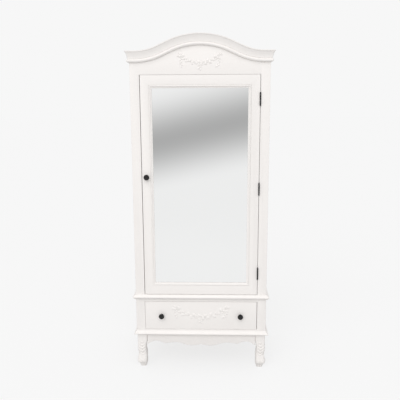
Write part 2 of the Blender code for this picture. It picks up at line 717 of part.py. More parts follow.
def hinge_leaf(name, sign, height):
    """One leaf: the full barrel with every second knuckle cut away for the other leaf's."""
    bore = arc_points((0.0, 0.0), PIN_RADIUS + PIN_CLEARANCE, 0, 360, 24)[:-1]
    piece = extruded(name, "black_metal", [leaf_outline(sign), bore], HINGE_LENGTH, math.radians(35))
    piece.location = (HINGE_X, HINGE_Y, height)
    pitch = HINGE_LENGTH / KNUCKLE_COUNT
    slot_radius = KNUCKLE_RADIUS + KNUCKLE_FACE_GAP
    first = 0 if sign < 0 else 1
    for place in range(first, KNUCKLE_COUNT, 2):
        mesh = cylinder_mesh(name + "_slot", slot_radius, pitch + 2 * KNUCKLE_END_GAP, 20)
        slot_z = height - HINGE_LENGTH / 2 + pitch * (place + 0.5)
        cutter = add_cutter(name + "_slot_" + str(place), mesh, (HINGE_X, HINGE_Y, slot_z))
        add_boolean(piece, cutter, "DIFFERENCE")
    return piece


def hinge_pin(name, height):
    """A pin with a small round head at each end."""
    half = HINGE_LENGTH / 2 + KNUCKLE_END_GAP
    cap = arc_points((0.0, half), PIN_HEAD_RADIUS, 90, 0, 4)
    cap = [(radius, half + (up - half) * PIN_HEAD_HEIGHT / PIN_HEAD_RADIUS) for radius, up in cap]
    profile = cap + [(PIN_RADIUS, half), (PIN_RADIUS, -half)]
    profile += [(radius, -up) for radius, up in reversed(cap)]
    pin = turned(name, "black_metal", profile, 12)
    pin.location = (HINGE_X, HINGE_Y, height)
    return pin


def hinges():
    """Three hinges; returns the carcass pieces and the door pieces."""
    fixed = []
    swinging = []
    places = (("top", DOOR_TOP_Z - HINGE_FROM_DOOR_END),
              ("middle", (DOOR_TOP_Z + DOOR_BOTTOM_Z) / 2),
              ("bottom", DOOR_BOTTOM_Z + HINGE_FROM_DOOR_END))
    for place, height in places:
        fixed.append(hinge_leaf("frame_hinge_leaf_" + place, 1, height))
        fixed.append(hinge_pin("hinge_pin_" + place, height))
        swinging.append(hinge_leaf("door_hinge_leaf_" + place, -1, height))
    return fixed, swinging


# ---- door ----------------------------------------------------------------------------------------
def knob(name, across, height):
    """A turned knob standing out from the front."""
    head_height = 0.0095
    crown_drop = 0.0028
    neck_low = 0.0075
    foot_height = 0.0030
    head_rim = KNOB_REACH - head_height
    crown = [(0.0, KNOB_REACH), (KNOB_RADIUS * 0.45, KNOB_REACH - crown_drop * 0.2),
             (KNOB_RADIUS * 0.80, KNOB_REACH - crown_drop), (KNOB_RADIUS, head_rim)]
    under = [(KNOB_RADIUS * 0.92, head_rim - head_height * 0.37),
             (KNOB_NECK_RADIUS * 1.15, head_rim - head_height * 0.72),
             (KNOB_NECK_RADIUS, neck_low), (KNOB_FOOT_RADIUS, foot_height),
             (KNOB_FOOT_RADIUS, FIT_GAP), (0.0, FIT_GAP)]
    piece = turned(name, "black_metal", crown + under, 20)
    piece.location = (across, FACE_Y, height)
    piece.rotation_euler = UPRIGHT
    return piece


def door_frame():
    """Two stiles, two rails between them, and the moulding that frames the mirror."""
    pieces = []
    for side, sign in SIDES:
        span = sorted((sign * DOOR_HALF, sign * (DOOR_HALF - DOOR_STILE_WIDTH)))
        pieces.append(board("door_stile_" + side, "white_paint",
                            (span[0], FACE_Y, DOOR_BOTTOM_Z), (span[1], DOOR_BACK_Y, DOOR_TOP_Z)))
    reach = DOOR_HALF - DOOR_STILE_WIDTH - FIT_GAP
    pieces.append(board("door_rail_top", "white_paint",
                        (-reach, FACE_Y, DOOR_TOP_Z - DOOR_TOP_RAIL), (reach, DOOR_BACK_Y, DOOR_TOP_Z)))
    pieces.append(board("door_rail_bottom", "white_paint",
                        (-reach, FACE_Y, DOOR_BOTTOM_Z),
                        (reach, DOOR_BACK_Y, DOOR_BOTTOM_Z + DOOR_BOTTOM_RAIL)))
    return pieces


def mirror_moulding(reach, low, high):
    """One mitred frame: its section carried round the four corners, each corner at 45 degrees."""
    back = MIRROR_MOULDING_DEPTH - FIT_GAP
    bead_low = MIRROR_BEAD_RADIUS - MIRROR_MOULDING_PROUD
    sight_edge = back * 0.70
    section = [(0.0, back), (0.0, 0.0)]
    section += [(MIRROR_BEAD_INSET + across, bead_low - up)
                for across, up in arc_points((0.0, 0.0), MIRROR_BEAD_RADIUS, 150, 20, 4)]
    section += [(MIRROR_MOULDING_WIDTH * 0.6, back * 0.35), (MIRROR_MOULDING_WIDTH, sight_edge),
                (MIRROR_MOULDING_WIDTH, back)]
    shape = bmesh.new()
    rings = []
    for inward, depth in section:
        corners = ((-reach + inward, low + inward), (reach - inward, low + inward),
                   (reach - inward, high - inward), (-reach + inward, high - inward))
        ring = [shape.verts.new((across, FACE_Y + depth, up)) for across, up in corners]
        rings.append([shape.edges.new((ring[i - 1], ring[i])) for i in range(4)])
    for index, ring in enumerate(rings):
        bmesh.ops.bridge_loops(shape, edges=rings[index - 1] + ring)
    bmesh.ops.recalc_face_normals(shape, faces=shape.faces)
    mesh = bpy.data.meshes.new("mirror_moulding")
    shape.to_mesh(mesh)
    shape.free()
    return add_piece("mirror_moulding", mesh, "white_paint")


def mirror():
    """Moulding, glass and backing board, all inside the door frame."""
    reach = DOOR_HALF - DOOR_STILE_WIDTH - FIT_GAP
    low = DOOR_BOTTOM_Z + DOOR_BOTTOM_RAIL + FIT_GAP
    high = DOOR_TOP_Z - DOOR_TOP_RAIL - FIT_GAP
    glass_y = FACE_Y + MIRROR_MOULDING_DEPTH
    backing_y = glass_y + MIRROR_GLASS_THICKNESS + FIT_GAP
    return [
        mirror_moulding(reach, low, high),
        board("mirror_glass", "silvered_glass", (-reach, glass_y, low),
              (reach, glass_y + MIRROR_GLASS_THICKNESS, high)),
        board("mirror_backing", "backing_board", (-reach, backing_y, low),
              (reach, backing_y + MIRROR_BACKING_THICKNESS, high), THIN_EDGE_ROUND),
    ]


def strike_plate():
    """The steel plate on the door's back that meets the magnet."""
    edge = STRIKE_INSET - DOOR_HALF
    low_y = DOOR_BACK_Y + FIT_GAP
    return board("catch_strike_plate", "chromed_tube",
                 (edge, low_y, KNOB_Z - CATCH_HEIGHT / 2),
                 (edge + STRIKE_LENGTH, low_y + STRIKE_THICKNESS, KNOB_Z + CATCH_HEIGHT / 2),
                 THIN_EDGE_ROUND)


# ---- drawer --------------------------------------------------------------------------------------
def drawer_pieces():
    """Front, sides, back, bottom and two knobs; the front is cut from the door frame's board."""
    front_half = OPENING_HALF - DRAWER_GAP
    low = DRAWER_LOW_Z + DRAWER_GAP
    high = DRAWER_HIGH_Z - DRAWER_GAP
    box_front = DOOR_BACK_Y + FIT_GAP
    box_back = INSIDE_BACK_Y - DRAWER_BACK_CLEARANCE
    side_low = low + RUNNER_CLEARANCE
    side_high = high - DRAWER_SIDE_DROP
    side_outer = OPENING_HALF - DRAWER_SIDE_CLEARANCE
    side_inner = side_outer - DRAWER_SIDE_THICKNESS
    inner = side_inner - FIT_GAP
    back_face = box_back - DRAWER_SIDE_THICKNESS
    bottom_z = side_low + DRAWER_BOTTOM_RAISE
    pieces = [board("drawer_front", "white_paint",
                    (-front_half, FACE_Y, low), (front_half, DOOR_BACK_Y, high))]
    for side, sign in SIDES:
        span = sorted((sign * side_inner, sign * side_outer))
        pieces.append(board("drawer_side_" + side, "drawer_wood",
                            (span[0], box_front, side_low), (span[1], box_back, side_high)))
    pieces.append(board("drawer_back", "drawer_wood",
                        (-inner, back_face, side_low), (inner, box_back, side_high)))
    pieces.append(board("drawer_bottom", "drawer_wood",
                        (-inner, box_front, bottom_z),
                        (inner, back_face - FIT_GAP, bottom_z + DRAWER_BOTTOM_THICKNESS)))
    for side, sign in SIDES:
        pieces.append(knob("drawer_knob_" + side, sign * DRAWER_KNOB_SPACING / 2, (low + high) / 2))
    return pieces


# ---- applied carvings, as plain swags with discs ----------------------------------------------------
def garland(name, half_span, end_z, sag, thickness, end_radius, middle_radius):
    """A hanging swag between two rosettes, with a flower cluster at its lowest point."""
    steps = 12
    middle_share = 1.1
    taper = 0.6
    lower = []
    upper = []
    for step in range(-steps, steps + 1):
        share = step / steps
        line = end_z - sag * (1 - share * share)
        half_width = thickness * (middle_share - taper * abs(share))
        lower.append((half_span * share, line - half_width))
        upper.append((half_span * share, line + half_width))
    relief = CARVING_RELIEF - FIT_GAP
    piece = extruded(name, "white_paint", [lower + list(reversed(upper))], relief)
    piece.location = (0.0, FACE_Y - FIT_GAP - relief / 2, 0.0)
    piece.rotation_euler = UPRIGHT
    spots = ((-half_span, end_z, end_radius),
             (half_span, end_z, end_radius),
             (0.0, end_z - sag, middle_radius))
    for index, (across, up, radius) in enumerate(spots):
        mesh = cylinder_mesh(name + "_rosette", radius, relief, 16)
        cutter = add_cutter(name + "_rosette_" + str(index), mesh, (across, piece.location.y, up))
        cutter.rotation_euler = UPRIGHT
        add_boolean(piece, cutter, "UNION")
    return piece


def frieze_carving():
    """The garland on the board over the door, hung from under the crest of the arch."""
    return garland("frieze_carving", FRIEZE_SWAG_HALF, CREST_Z - FRIEZE_SWAG_BELOW_CREST,
                   FRIEZE_SWAG_SAG, thickness=0.008, end_radius=0.016, middle_radius=0.020)


def drawer_carving():
    """The garland on the drawer front, between the knobs."""
    middle_z = (DRAWER_LOW_Z + DRAWER_HIGH_Z) / 2
    return garland("drawer_carving", DRAWER_SWAG_HALF, middle_z + DRAWER_SWAG_RAISE,
                   DRAWER_SWAG_SAG, thickness=0.010, end_radius=0.020, middle_radius=0.024)


# ---- assembly ------------------------------------------------------------------------------------
clear_scene()
WARDROBE = new_collection("mirrored_wardrobe")
CUTTERS = new_collection("cutters")

carcass_sides()
front_rails()
inner_boards()
drawer_runners()
cornice_front()
moulding_band("cornice", cornice_profile(), CORNICE_Z, with_front=False)
moulding_band("waist_moulding", waist_profile(), WAIST_Z)
moulding_band("base_moulding", base_profile(), BASE_Z)
frieze_board()
frieze_carving()
legs()
front_apron()
side_aprons()
hanging_rail()
magnetic_catch()

fixed_hinge_pieces, door_hinge_pieces = hinges()

door_pivot = add_pivot("door_pivot", (HINGE_X, HINGE_Y, DOOR_BOTTOM_Z))
hang_on(door_pivot, door_frame() + mirror() + [knob("door_knob", KNOB_X, KNOB_Z), strike_plate()]
        + door_hinge_pieces)

drawer_pivot = add_pivot("drawer_pivot", (0.0, FACE_Y, DRAWER_LOW_Z))
hang_on(drawer_pivot, drawer_pieces() + [drawer_carving()])
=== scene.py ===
# %% [markdown]
# # A painted wardrobe with a mirrored door
#
# The frame holds the boards, the legs and everything that moves, at their real size. This script gives them
# their looks: fine mouldings, carving, turned knobs, a silvered mirror and brushed white paint. Each step
# says what the piece is on the real wardrobe and why it is made the way it is.

# %% Load the frame
import json
import math

import bmesh
import bpy
from mathutils import Matrix, Vector


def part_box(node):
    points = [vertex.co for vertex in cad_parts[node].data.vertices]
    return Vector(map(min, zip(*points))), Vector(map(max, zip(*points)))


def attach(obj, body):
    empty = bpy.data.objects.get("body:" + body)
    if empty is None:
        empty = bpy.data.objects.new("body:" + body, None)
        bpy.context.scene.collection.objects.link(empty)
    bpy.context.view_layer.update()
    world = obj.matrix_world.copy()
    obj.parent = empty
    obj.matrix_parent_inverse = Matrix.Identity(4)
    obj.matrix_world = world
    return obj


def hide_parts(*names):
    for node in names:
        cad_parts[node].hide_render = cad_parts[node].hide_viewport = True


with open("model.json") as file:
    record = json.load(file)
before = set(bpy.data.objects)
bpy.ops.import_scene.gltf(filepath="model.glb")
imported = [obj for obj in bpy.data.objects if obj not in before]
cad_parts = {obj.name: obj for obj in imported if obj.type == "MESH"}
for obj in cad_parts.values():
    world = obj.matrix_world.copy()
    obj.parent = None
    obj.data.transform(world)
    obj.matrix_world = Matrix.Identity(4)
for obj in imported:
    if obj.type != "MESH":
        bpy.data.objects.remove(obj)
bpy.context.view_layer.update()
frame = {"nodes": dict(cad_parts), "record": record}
NODES = frame["nodes"]

# %% [markdown]
# ## Measures
#
# A joiner reads sizes off the carcass before cutting a moulding. Here they come from the frame, so a new
# frame brings its own sizes. Only the fit gap and the shape of the arch are repeated, because a box can't
# tell them.

# %% Read the measures
FIT_GAP = 0.0003
HALF_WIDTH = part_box("side_panel_right")[1].x
FACE_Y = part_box("front_stile_left")[0].y
BACK_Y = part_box("back_panel")[1].y
CORNICE_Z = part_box("cornice_left")[0].z
CORNICE_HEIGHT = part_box("cornice_left")[1].z - CORNICE_Z
CREST_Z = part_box("cornice_front")[1].z - CORNICE_HEIGHT
CREST_RADIUS = 0.375
SHOULDER_RADIUS = 0.360
SHOULDER_LEVEL_RUN = 0.030
ARCH_HALF_SPAN = HALF_WIDTH - SHOULDER_LEVEL_RUN
DOOR_LOW, DOOR_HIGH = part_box("door_stile_left")[0].z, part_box("door_stile_left")[1].z
LEG_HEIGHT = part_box("leg_front_left")[1].z
DRAWER_LOW, DRAWER_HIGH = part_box("drawer_front")
DRAWER_MIDDLE_Z = (DRAWER_LOW.z + DRAWER_HIGH.z) / 2
SIDES = (("left", -1), ("right", 1))
print("face at y", round(FACE_Y, 4), "cornice from", round(CORNICE_Z, 3), "crest", round(CREST_Z, 4))

# %% [markdown]
# ## Small helpers
#
# Node trees are easier to read when each node is one call. `add_node` makes a node, sets it, and either
# fills an input or links another node's output to it.


# %% Node helpers
def add_node(tree, kind, inputs=None, **settings):
    """A new node; each input is a value, or an output socket to link."""
    fresh = tree.nodes.new(kind)
    for name, value in settings.items():
        setattr(fresh, name, value)
    for key, value in (inputs or {}).items():
        if isinstance(value, bpy.types.NodeSocket):
            tree.links.new(value, fresh.inputs[key])
        else:
            fresh.inputs[key].default_value = value
    return fresh


def new_group(name, kind, inputs, outputs):
    """A node group with named sockets; inputs are (name, type, default)."""
    tree = bpy.data.node_groups.new(name, kind)
    for label, socket_type, default in inputs:
        socket = tree.interface.new_socket(label, in_out="INPUT", socket_type=socket_type)
        if default is not None:
            socket.default_value = default
    for label, socket_type in outputs:
        tree.interface.new_socket(label, in_out="OUTPUT", socket_type=socket_type)
    return tree, tree.nodes.new("NodeGroupInput").outputs, tree.nodes.new("NodeGroupOutput").inputs


def maths(tree, operation, first, second=0.0):
    """One Math node's output."""
    return add_node(tree, "ShaderNodeMath", {0: first, 1: second}, operation=operation).outputs[0]


print("node helpers: add_node, new_group, maths")


# %% [markdown]
# ## Brush streaks
#
# Brushed paint isn't flat: the brush leaves fine lines along each board, with broader bands between them.
# Noise that is squeezed along one axis gives both. It is a node group, because several finishes use it, each
# with its own direction. A group only puts out masks and heights, and the shader stays in the material.


# %% Brush streaks
FINE_STREAKS_PER_METRE = 420.0
BROAD_STREAKS_PER_METRE = 60.0
BROAD_STREAK_SHARE = 0.8
NOISE_MIDDLE = 0.5


def brush_streaks():
    """Long fine streaks; Stretch says along which axis they run."""
    tree, given, out = new_group(
        "brush_streaks", "ShaderNodeTree",
        [("Stretch", "NodeSocketVector", (1.0, 1.0, 0.06)),
         ("Streaks Per Metre", "NodeSocketFloat", FINE_STREAKS_PER_METRE)],
        [("Height", "NodeSocketFloat"), ("Gloss Change", "NodeSocketFloat")])
    place = add_node(tree, "ShaderNodeTexCoord").outputs["Object"]
    long_way = add_node(tree, "ShaderNodeVectorMath", {0: place, 1: given["Stretch"]}, operation="MULTIPLY")
    streak = add_node(tree, "ShaderNodeTexNoise",
                      {"Vector": long_way.outputs[0], "Scale": given["Streaks Per Metre"], "Detail": 3.0})
    broad = add_node(tree, "ShaderNodeTexNoise",
                     {"Vector": long_way.outputs[0], "Scale": BROAD_STREAKS_PER_METRE, "Detail": 2.0})
    bands = maths(tree, "MULTIPLY", broad.outputs[0], BROAD_STREAK_SHARE)
    tree.links.new(maths(tree, "ADD", streak.outputs[0], bands), out["Height"])
    tree.links.new(maths(tree, "SUBTRACT", broad.outputs[0], NOISE_MIDDLE), out["Gloss Change"])
    return tree


STREAKS = brush_streaks()
print("group:", STREAKS.name)


# %% [markdown]
# ## Cloudy tone
#
# No coat has one even tone. Slow noise that moves between two close colours keeps a large plain board from
# looking like a flat fill, and the same group at a smaller scale gives the tone of metal and plastic.


# %% Cloudy tone
PALE_GREY = (0.9, 0.9, 0.9, 1.0)
SOFT_GREY = (0.8, 0.8, 0.8, 1.0)
CLOUD_SPREAD = (0.3, 0.7)


def cloudy_tone():
    """Slow changes of tone between two colours."""
    tree, given, out = new_group(
        "cloudy_tone", "ShaderNodeTree",
        [("Light", "NodeSocketColor", PALE_GREY), ("Dark", "NodeSocketColor", SOFT_GREY),
         ("Cloud Scale", "NodeSocketFloat", 5.0)],
        [("Color", "NodeSocketColor"), ("Mask", "NodeSocketFloat")])
    place = add_node(tree, "ShaderNodeTexCoord").outputs["Object"]
    cloud = add_node(tree, "ShaderNodeTexNoise",
                     {"Vector": place, "Scale": given["Cloud Scale"], "Detail": 4.0})
    spread = add_node(tree, "ShaderNodeMapRange",
                      {"Value": cloud.outputs[0], "From Min": CLOUD_SPREAD[0], "From Max": CLOUD_SPREAD[1]})
    mix = add_node(tree, "ShaderNodeMix", {0: spread.outputs[0], 6: given["Light"], 7: given["Dark"]},
                   data_type="RGBA")
    tree.links.new(mix.outputs[2], out["Color"])
    tree.links.new(spread.outputs[0], out["Mask"])
    return tree


CLOUDS = cloudy_tone()
print("group:", CLOUDS.name)


# %% [markdown]
# ## Edge wear
#
# Paint wears thin where a hand or a cloth rubs, which is on the edges. The Bevel node bends the normal near
# an edge, so the angle between it and the true normal finds the edges without any drawing. Noise then breaks
# the mask up, because real wear is never a line.


# %% Edge wear
WEAR_PATCHES_PER_METRE = 45.0
EDGE_TURN = (0.995, 0.90)
PATCH_SPREAD = (0.45, 0.65)


def edge_wear():
    """A mask of sharp edges, broken up so that it doesn't look drawn; also rounds the light on them."""
    tree, given, out = new_group(
        "edge_wear", "ShaderNodeTree", [("Edge Radius", "NodeSocketFloat", 0.0015)],
        [("Mask", "NodeSocketFloat"), ("Normal", "NodeSocketVector")])
    rounded = add_node(tree, "ShaderNodeBevel", {"Radius": given["Edge Radius"]}, samples=4)
    flat = add_node(tree, "ShaderNodeNewGeometry").outputs["True Normal"]
    same = add_node(tree, "ShaderNodeVectorMath", {0: rounded.outputs[0], 1: flat}, operation="DOT_PRODUCT")
    place = add_node(tree, "ShaderNodeTexCoord").outputs["Object"]
    patches = add_node(tree, "ShaderNodeTexNoise",
                       {"Vector": place, "Scale": WEAR_PATCHES_PER_METRE, "Detail": 3.0})
    turned = add_node(tree, "ShaderNodeMapRange",
                      {"Value": same.outputs["Value"], "From Min": EDGE_TURN[0], "From Max": EDGE_TURN[1]})
    broken = add_node(tree, "ShaderNodeMapRange",
                      {"Value": patches.outputs[0], "From Min": PATCH_SPREAD[0], "From Max": PATCH_SPREAD[1]})
    tree.links.new(maths(tree, "MULTIPLY", turned.outputs[0], broken.outputs[0]), out["Mask"])
    tree.links.new(rounded.outputs[0], out["Normal"])
    return tree


WEAR = edge_wear()
print("group:", WEAR.name)


# %% [markdown]
# ## Wood grain
#
# Sawn pine shows stretched rings and tiny pores. Noise that is squeezed along the board and bent a little
# looks like rings that a saw has cut lengthwise, and much finer noise gives the pores.


# %% Wood grain
GRAIN_LIGHT = (0.6, 0.45, 0.3, 1.0)
GRAIN_DARK = (0.4, 0.3, 0.2, 1.0)
ALONG_DEPTH = (1.0, 0.08, 1.0)
RINGS_PER_METRE = 38.0
RING_WAVER = 0.6
PORES_PER_METRE = 700.0
RING_SPREAD = (0.35, 0.65)


def wood_grain():
    """Sawn grain: stretched rings with fine pores."""
    tree, given, out = new_group(
        "wood_grain", "ShaderNodeTree",
        [("Light", "NodeSocketColor", GRAIN_LIGHT), ("Dark", "NodeSocketColor", GRAIN_DARK),
         ("Stretch", "NodeSocketVector", ALONG_DEPTH)],
        [("Color", "NodeSocketColor"), ("Height", "NodeSocketFloat")])
    place = add_node(tree, "ShaderNodeTexCoord").outputs["Object"]
    along = add_node(tree, "ShaderNodeVectorMath", {0: place, 1: given["Stretch"]}, operation="MULTIPLY")
    rings = add_node(tree, "ShaderNodeTexNoise", {"Vector": along.outputs[0], "Scale": RINGS_PER_METRE,
                                                  "Detail": 5.0, "Distortion": RING_WAVER})
    pores = add_node(tree, "ShaderNodeTexNoise",
                     {"Vector": along.outputs[0], "Scale": PORES_PER_METRE, "Detail": 2.0})
    spread = add_node(tree, "ShaderNodeMapRange",
                      {"Value": rings.outputs[0], "From Min": RING_SPREAD[0], "From Max": RING_SPREAD[1]})
    mix = add_node(tree, "ShaderNodeMix", {0: spread.outputs[0], 6: given["Light"], 7: given["Dark"]},
                   data_type="RGBA")
    tree.links.new(mix.outputs[2], out["Color"])
    tree.links.new(maths(tree, "ADD", pores.outputs[0], rings.outputs[0]), out["Height"])
    return tree


GRAIN = wood_grain()
print("group:", GRAIN.name)


# %% [markdown]
# ## Material helpers
#
# Every finish starts from a Principled BSDF. Uniform values, such as metallic, go straight on its sockets,
# and what varies over the surface comes from the groups. These helpers make the material, place a group in
# it, and feed a height or a change of gloss to the shader.


# %% Material helpers
def new_material(name, **uniform):
    """A material with its shader, and the uniform values set on the shader's sockets."""
    material = bpy.data.materials.new(name)
    material.use_nodes = True
    shader = material.node_tree.nodes["Principled BSDF"]
    for socket, value in uniform.items():
        shader.inputs[socket.replace("_", " ")].default_value = value
    return material, material.node_tree, shader


def place_group(tree, group, inputs=None):
    """A group node in a material."""
    used = tree.nodes.new("ShaderNodeGroup")
    used.node_tree = group
    for key, value in (inputs or {}).items():
        used.inputs[key].default_value = value
    return used.outputs


def bump(tree, shader, height, distance, normal=None):
    """Feed a height into the shader's normal."""
    inputs = {"Height": height, "Distance": distance}
    if normal is not None:
        inputs["Normal"] = normal
    tree.links.new(add_node(tree, "ShaderNodeBump", inputs).outputs[0], shader.inputs["Normal"])


def roughness_around(tree, shader, middle, change, amount):
    """Roughness that follows a mask around a middle value."""
    tree.links.new(maths(tree, "ADD", maths(tree, "MULTIPLY", change, amount), middle),
                   shader.inputs["Roughness"])


print("material helpers: new_material, place_group, bump, roughness_around")


# %% [markdown]
# ## White paint
#
# The wardrobe is painted in a warm satin white. A painter brushes along each board, so the paint has a
# version for uprights, for level boards and for those that run back, and carving gets a dabbed one. They
# differ only in the direction of the streaks and the size of the worn edges.


# %% White paint
PAINT_LIGHT = (0.888, 0.858, 0.836, 1.0)
PAINT_DARK = (0.874, 0.842, 0.819, 1.0)
PAINT_WORN = (0.745, 0.715, 0.665, 1.0)
PAINT_CLOUDS_PER_METRE = 4.0
PAINT_SHINE = 0.45
PAINT_ROUGHNESS, PAINT_ROUGHNESS_SWING = 0.40, 0.20
PAINT_STREAK_HEIGHT = 0.00012
WEAR_SHOWN = 0.35
BOARD_EDGE_RADIUS = 0.0016
CARVED_EDGE_RADIUS = 0.0009
LONG_STROKE = 0.05
DAB = 0.5


def white_paint(name, stretch, wear_radius=BOARD_EDGE_RADIUS):
    """Satin paint with streaks along the board and a hint of wear on its edges."""
    material, tree, shader = new_material(name, Specular_IOR_Level=PAINT_SHINE)
    tone = place_group(tree, CLOUDS, {"Light": PAINT_LIGHT, "Dark": PAINT_DARK,
                                      "Cloud Scale": PAINT_CLOUDS_PER_METRE})
    wear = place_group(tree, WEAR, {"Edge Radius": wear_radius})
    streaks = place_group(tree, STREAKS, {"Stretch": stretch})
    faint = maths(tree, "MULTIPLY", wear["Mask"], WEAR_SHOWN)
    mix = add_node(tree, "ShaderNodeMix", {0: faint, 6: tone["Color"], 7: PAINT_WORN}, data_type="RGBA")
    tree.links.new(mix.outputs[2], shader.inputs["Base Color"])
    roughness_around(tree, shader, PAINT_ROUGHNESS, streaks["Gloss Change"], PAINT_ROUGHNESS_SWING)
    bump(tree, shader, streaks["Height"], PAINT_STREAK_HEIGHT, wear["Normal"])
    return material


PAINT_UPRIGHT = white_paint("white_paint_upright", (1.0, 1.0, LONG_STROKE))
PAINT_LEVEL = white_paint("white_paint_level", (LONG_STROKE, 1.0, 1.0))
PAINT_DEPTH = white_paint("white_paint_depth", (1.0, LONG_STROKE, 1.0))
PAINT_CARVED = white_paint("white_paint_carved", (DAB, DAB, DAB), CARVED_EDGE_RADIUS)
print("paints:", [paint.name for paint in (PAINT_UPRIGHT, PAINT_LEVEL, PAINT_DEPTH, PAINT_CARVED)])


# %% [markdown]
# ## Silvered mirror
#
# A mirror is glass with silver behind it. What counts is a sharp reflection, so one smooth metal surface is
# enough, a little less than white because the glass takes some light. Its tone changes very faintly.


# %% Silvered mirror
SILVER_LIGHT = (0.912, 0.916, 0.914, 1.0)
SILVER_DARK = (0.902, 0.908, 0.905, 1.0)
SILVER_CLOUDS_PER_METRE = 2.0
MIRROR_ROUGHNESS = 0.012


def silvered_mirror():
    """Silvered glass: almost perfectly smooth, with a very faint change of tone."""
    material, tree, shader = new_material("silvered_mirror", Metallic=1.0, Roughness=MIRROR_ROUGHNESS)
    tone = place_group(tree, CLOUDS, {"Light": SILVER_LIGHT, "Dark": SILVER_DARK,
                                      "Cloud Scale": SILVER_CLOUDS_PER_METRE})
    tree.links.new(tone["Color"], shader.inputs["Base Color"])
    return material


MIRROR = silvered_mirror()
print("material:", MIRROR.name)


# %% [markdown]
# ## Black metal and plated steel
#
# Hinges and knobs are iron under black lacquer. It isn't quite black, its gloss is uneven, and it is rubbed
# on the edges. The rail, its sockets and the screws are bright plated steel with fine polishing marks, for
# which the brush streaks serve again at a finer scale.


# %% Black metal and plated steel
LACQUER_LIGHT = (0.006, 0.006, 0.0065, 1.0)
LACQUER_DARK = (0.012, 0.0115, 0.011, 1.0)
LACQUER_RUBBED = (0.16, 0.15, 0.14, 1.0)
LACQUER_CLOUDS_PER_METRE = 90.0
LACQUER_SHINE = 0.35
LACQUER_EDGE_RADIUS = 0.0007
LACQUER_RUBBED_SHOWN = 0.25
LACQUER_ROUGHNESS, LACQUER_ROUGHNESS_SWING = 0.36, 0.12
LACQUER_RIPPLE_HEIGHT = 0.00006
STEEL_LIGHT = (0.66, 0.67, 0.68, 1.0)
STEEL_DARK = (0.56, 0.57, 0.58, 1.0)
STEEL_CLOUDS_PER_METRE = 25.0
POLISHING_STRETCH = (1.0, 0.1, 0.1)
POLISHING_MARKS_PER_METRE = 900.0
STEEL_ROUGHNESS, STEEL_ROUGHNESS_SWING = 0.15, 0.15
POLISHING_MARK_HEIGHT = 0.00002


def black_metal():
    """Black lacquer on iron, rubbed a little on the edges."""
    material, tree, shader = new_material("black_lacquered_metal", Specular_IOR_Level=LACQUER_SHINE)
    tone = place_group(tree, CLOUDS, {"Light": LACQUER_LIGHT, "Dark": LACQUER_DARK,
                                      "Cloud Scale": LACQUER_CLOUDS_PER_METRE})
    wear = place_group(tree, WEAR, {"Edge Radius": LACQUER_EDGE_RADIUS})
    rubbed = maths(tree, "MULTIPLY", wear["Mask"], LACQUER_RUBBED_SHOWN)
    mix = add_node(tree, "ShaderNodeMix", {0: rubbed, 6: tone["Color"], 7: LACQUER_RUBBED}, data_type="RGBA")
    tree.links.new(mix.outputs[2], shader.inputs["Base Color"])
    roughness_around(tree, shader, LACQUER_ROUGHNESS, tone["Mask"], LACQUER_ROUGHNESS_SWING)
    bump(tree, shader, tone["Mask"], LACQUER_RIPPLE_HEIGHT, wear["Normal"])
    return material


def plated_steel():
    """Bright plated steel with fine polishing marks."""
    material, tree, shader = new_material("plated_steel", Metallic=1.0)
    tone = place_group(tree, CLOUDS, {"Light": STEEL_LIGHT, "Dark": STEEL_DARK,
                                      "Cloud Scale": STEEL_CLOUDS_PER_METRE})
    streaks = place_group(tree, STREAKS, {"Stretch": POLISHING_STRETCH,
                                          "Streaks Per Metre": POLISHING_MARKS_PER_METRE})
    tree.links.new(tone["Color"], shader.inputs["Base Color"])
    roughness_around(tree, shader, STEEL_ROUGHNESS, streaks["Gloss Change"], STEEL_ROUGHNESS_SWING)
    bump(tree, shader, streaks["Height"], POLISHING_MARK_HEIGHT)
    return material


BLACK, STEEL = black_metal(), plated_steel()
print("materials:", BLACK.name, STEEL.name)


# %% [markdown]
# ## Plastic, pine and hardboard
#
# The catch has a dull plastic case with a fine texture from its mould. The drawer box and its runners are
# bare pine, with the grain along each board, and the back is brown hardboard. Pine and hardboard are one
# function with other colours, because only their tone, direction and dullness differ.


# %% Plastic, pine and hardboard
PLASTIC_LIGHT = (0.11, 0.065, 0.042, 1.0)
PLASTIC_DARK = (0.085, 0.05, 0.034, 1.0)
MOULD_GRAINS_PER_METRE = 500.0
PLASTIC_SHINE = 0.4
PLASTIC_ROUGHNESS, PLASTIC_ROUGHNESS_SWING = 0.48, 0.1
MOULD_GRAIN_HEIGHT = 0.00005
WOOD_SHINE = 0.3
SAWN_GRAIN_HEIGHT = 0.00015
PINE_LIGHT, PINE_DARK = (0.66, 0.49, 0.31, 1.0), (0.50, 0.34, 0.19, 1.0)
HARDBOARD_LIGHT, HARDBOARD_DARK = (0.30, 0.20, 0.12, 1.0), (0.25, 0.16, 0.095, 1.0)
ALONG_WIDTH = (0.08, 1.0, 1.0)
PRESSED_FIBRES = (3.0, 3.0, 2.0)
PINE_ROUGHNESS, HARDBOARD_ROUGHNESS = 0.60, 0.78


def moulded_plastic():
    """Dull brown plastic with a fine texture from its mould."""
    material, tree, shader = new_material("moulded_plastic", Specular_IOR_Level=PLASTIC_SHINE)
    tone = place_group(tree, CLOUDS, {"Light": PLASTIC_LIGHT, "Dark": PLASTIC_DARK,
                                      "Cloud Scale": MOULD_GRAINS_PER_METRE})
    tree.links.new(tone["Color"], shader.inputs["Base Color"])
    roughness_around(tree, shader, PLASTIC_ROUGHNESS, tone["Mask"], PLASTIC_ROUGHNESS_SWING)
    bump(tree, shader, tone["Mask"], MOULD_GRAIN_HEIGHT)
    return material


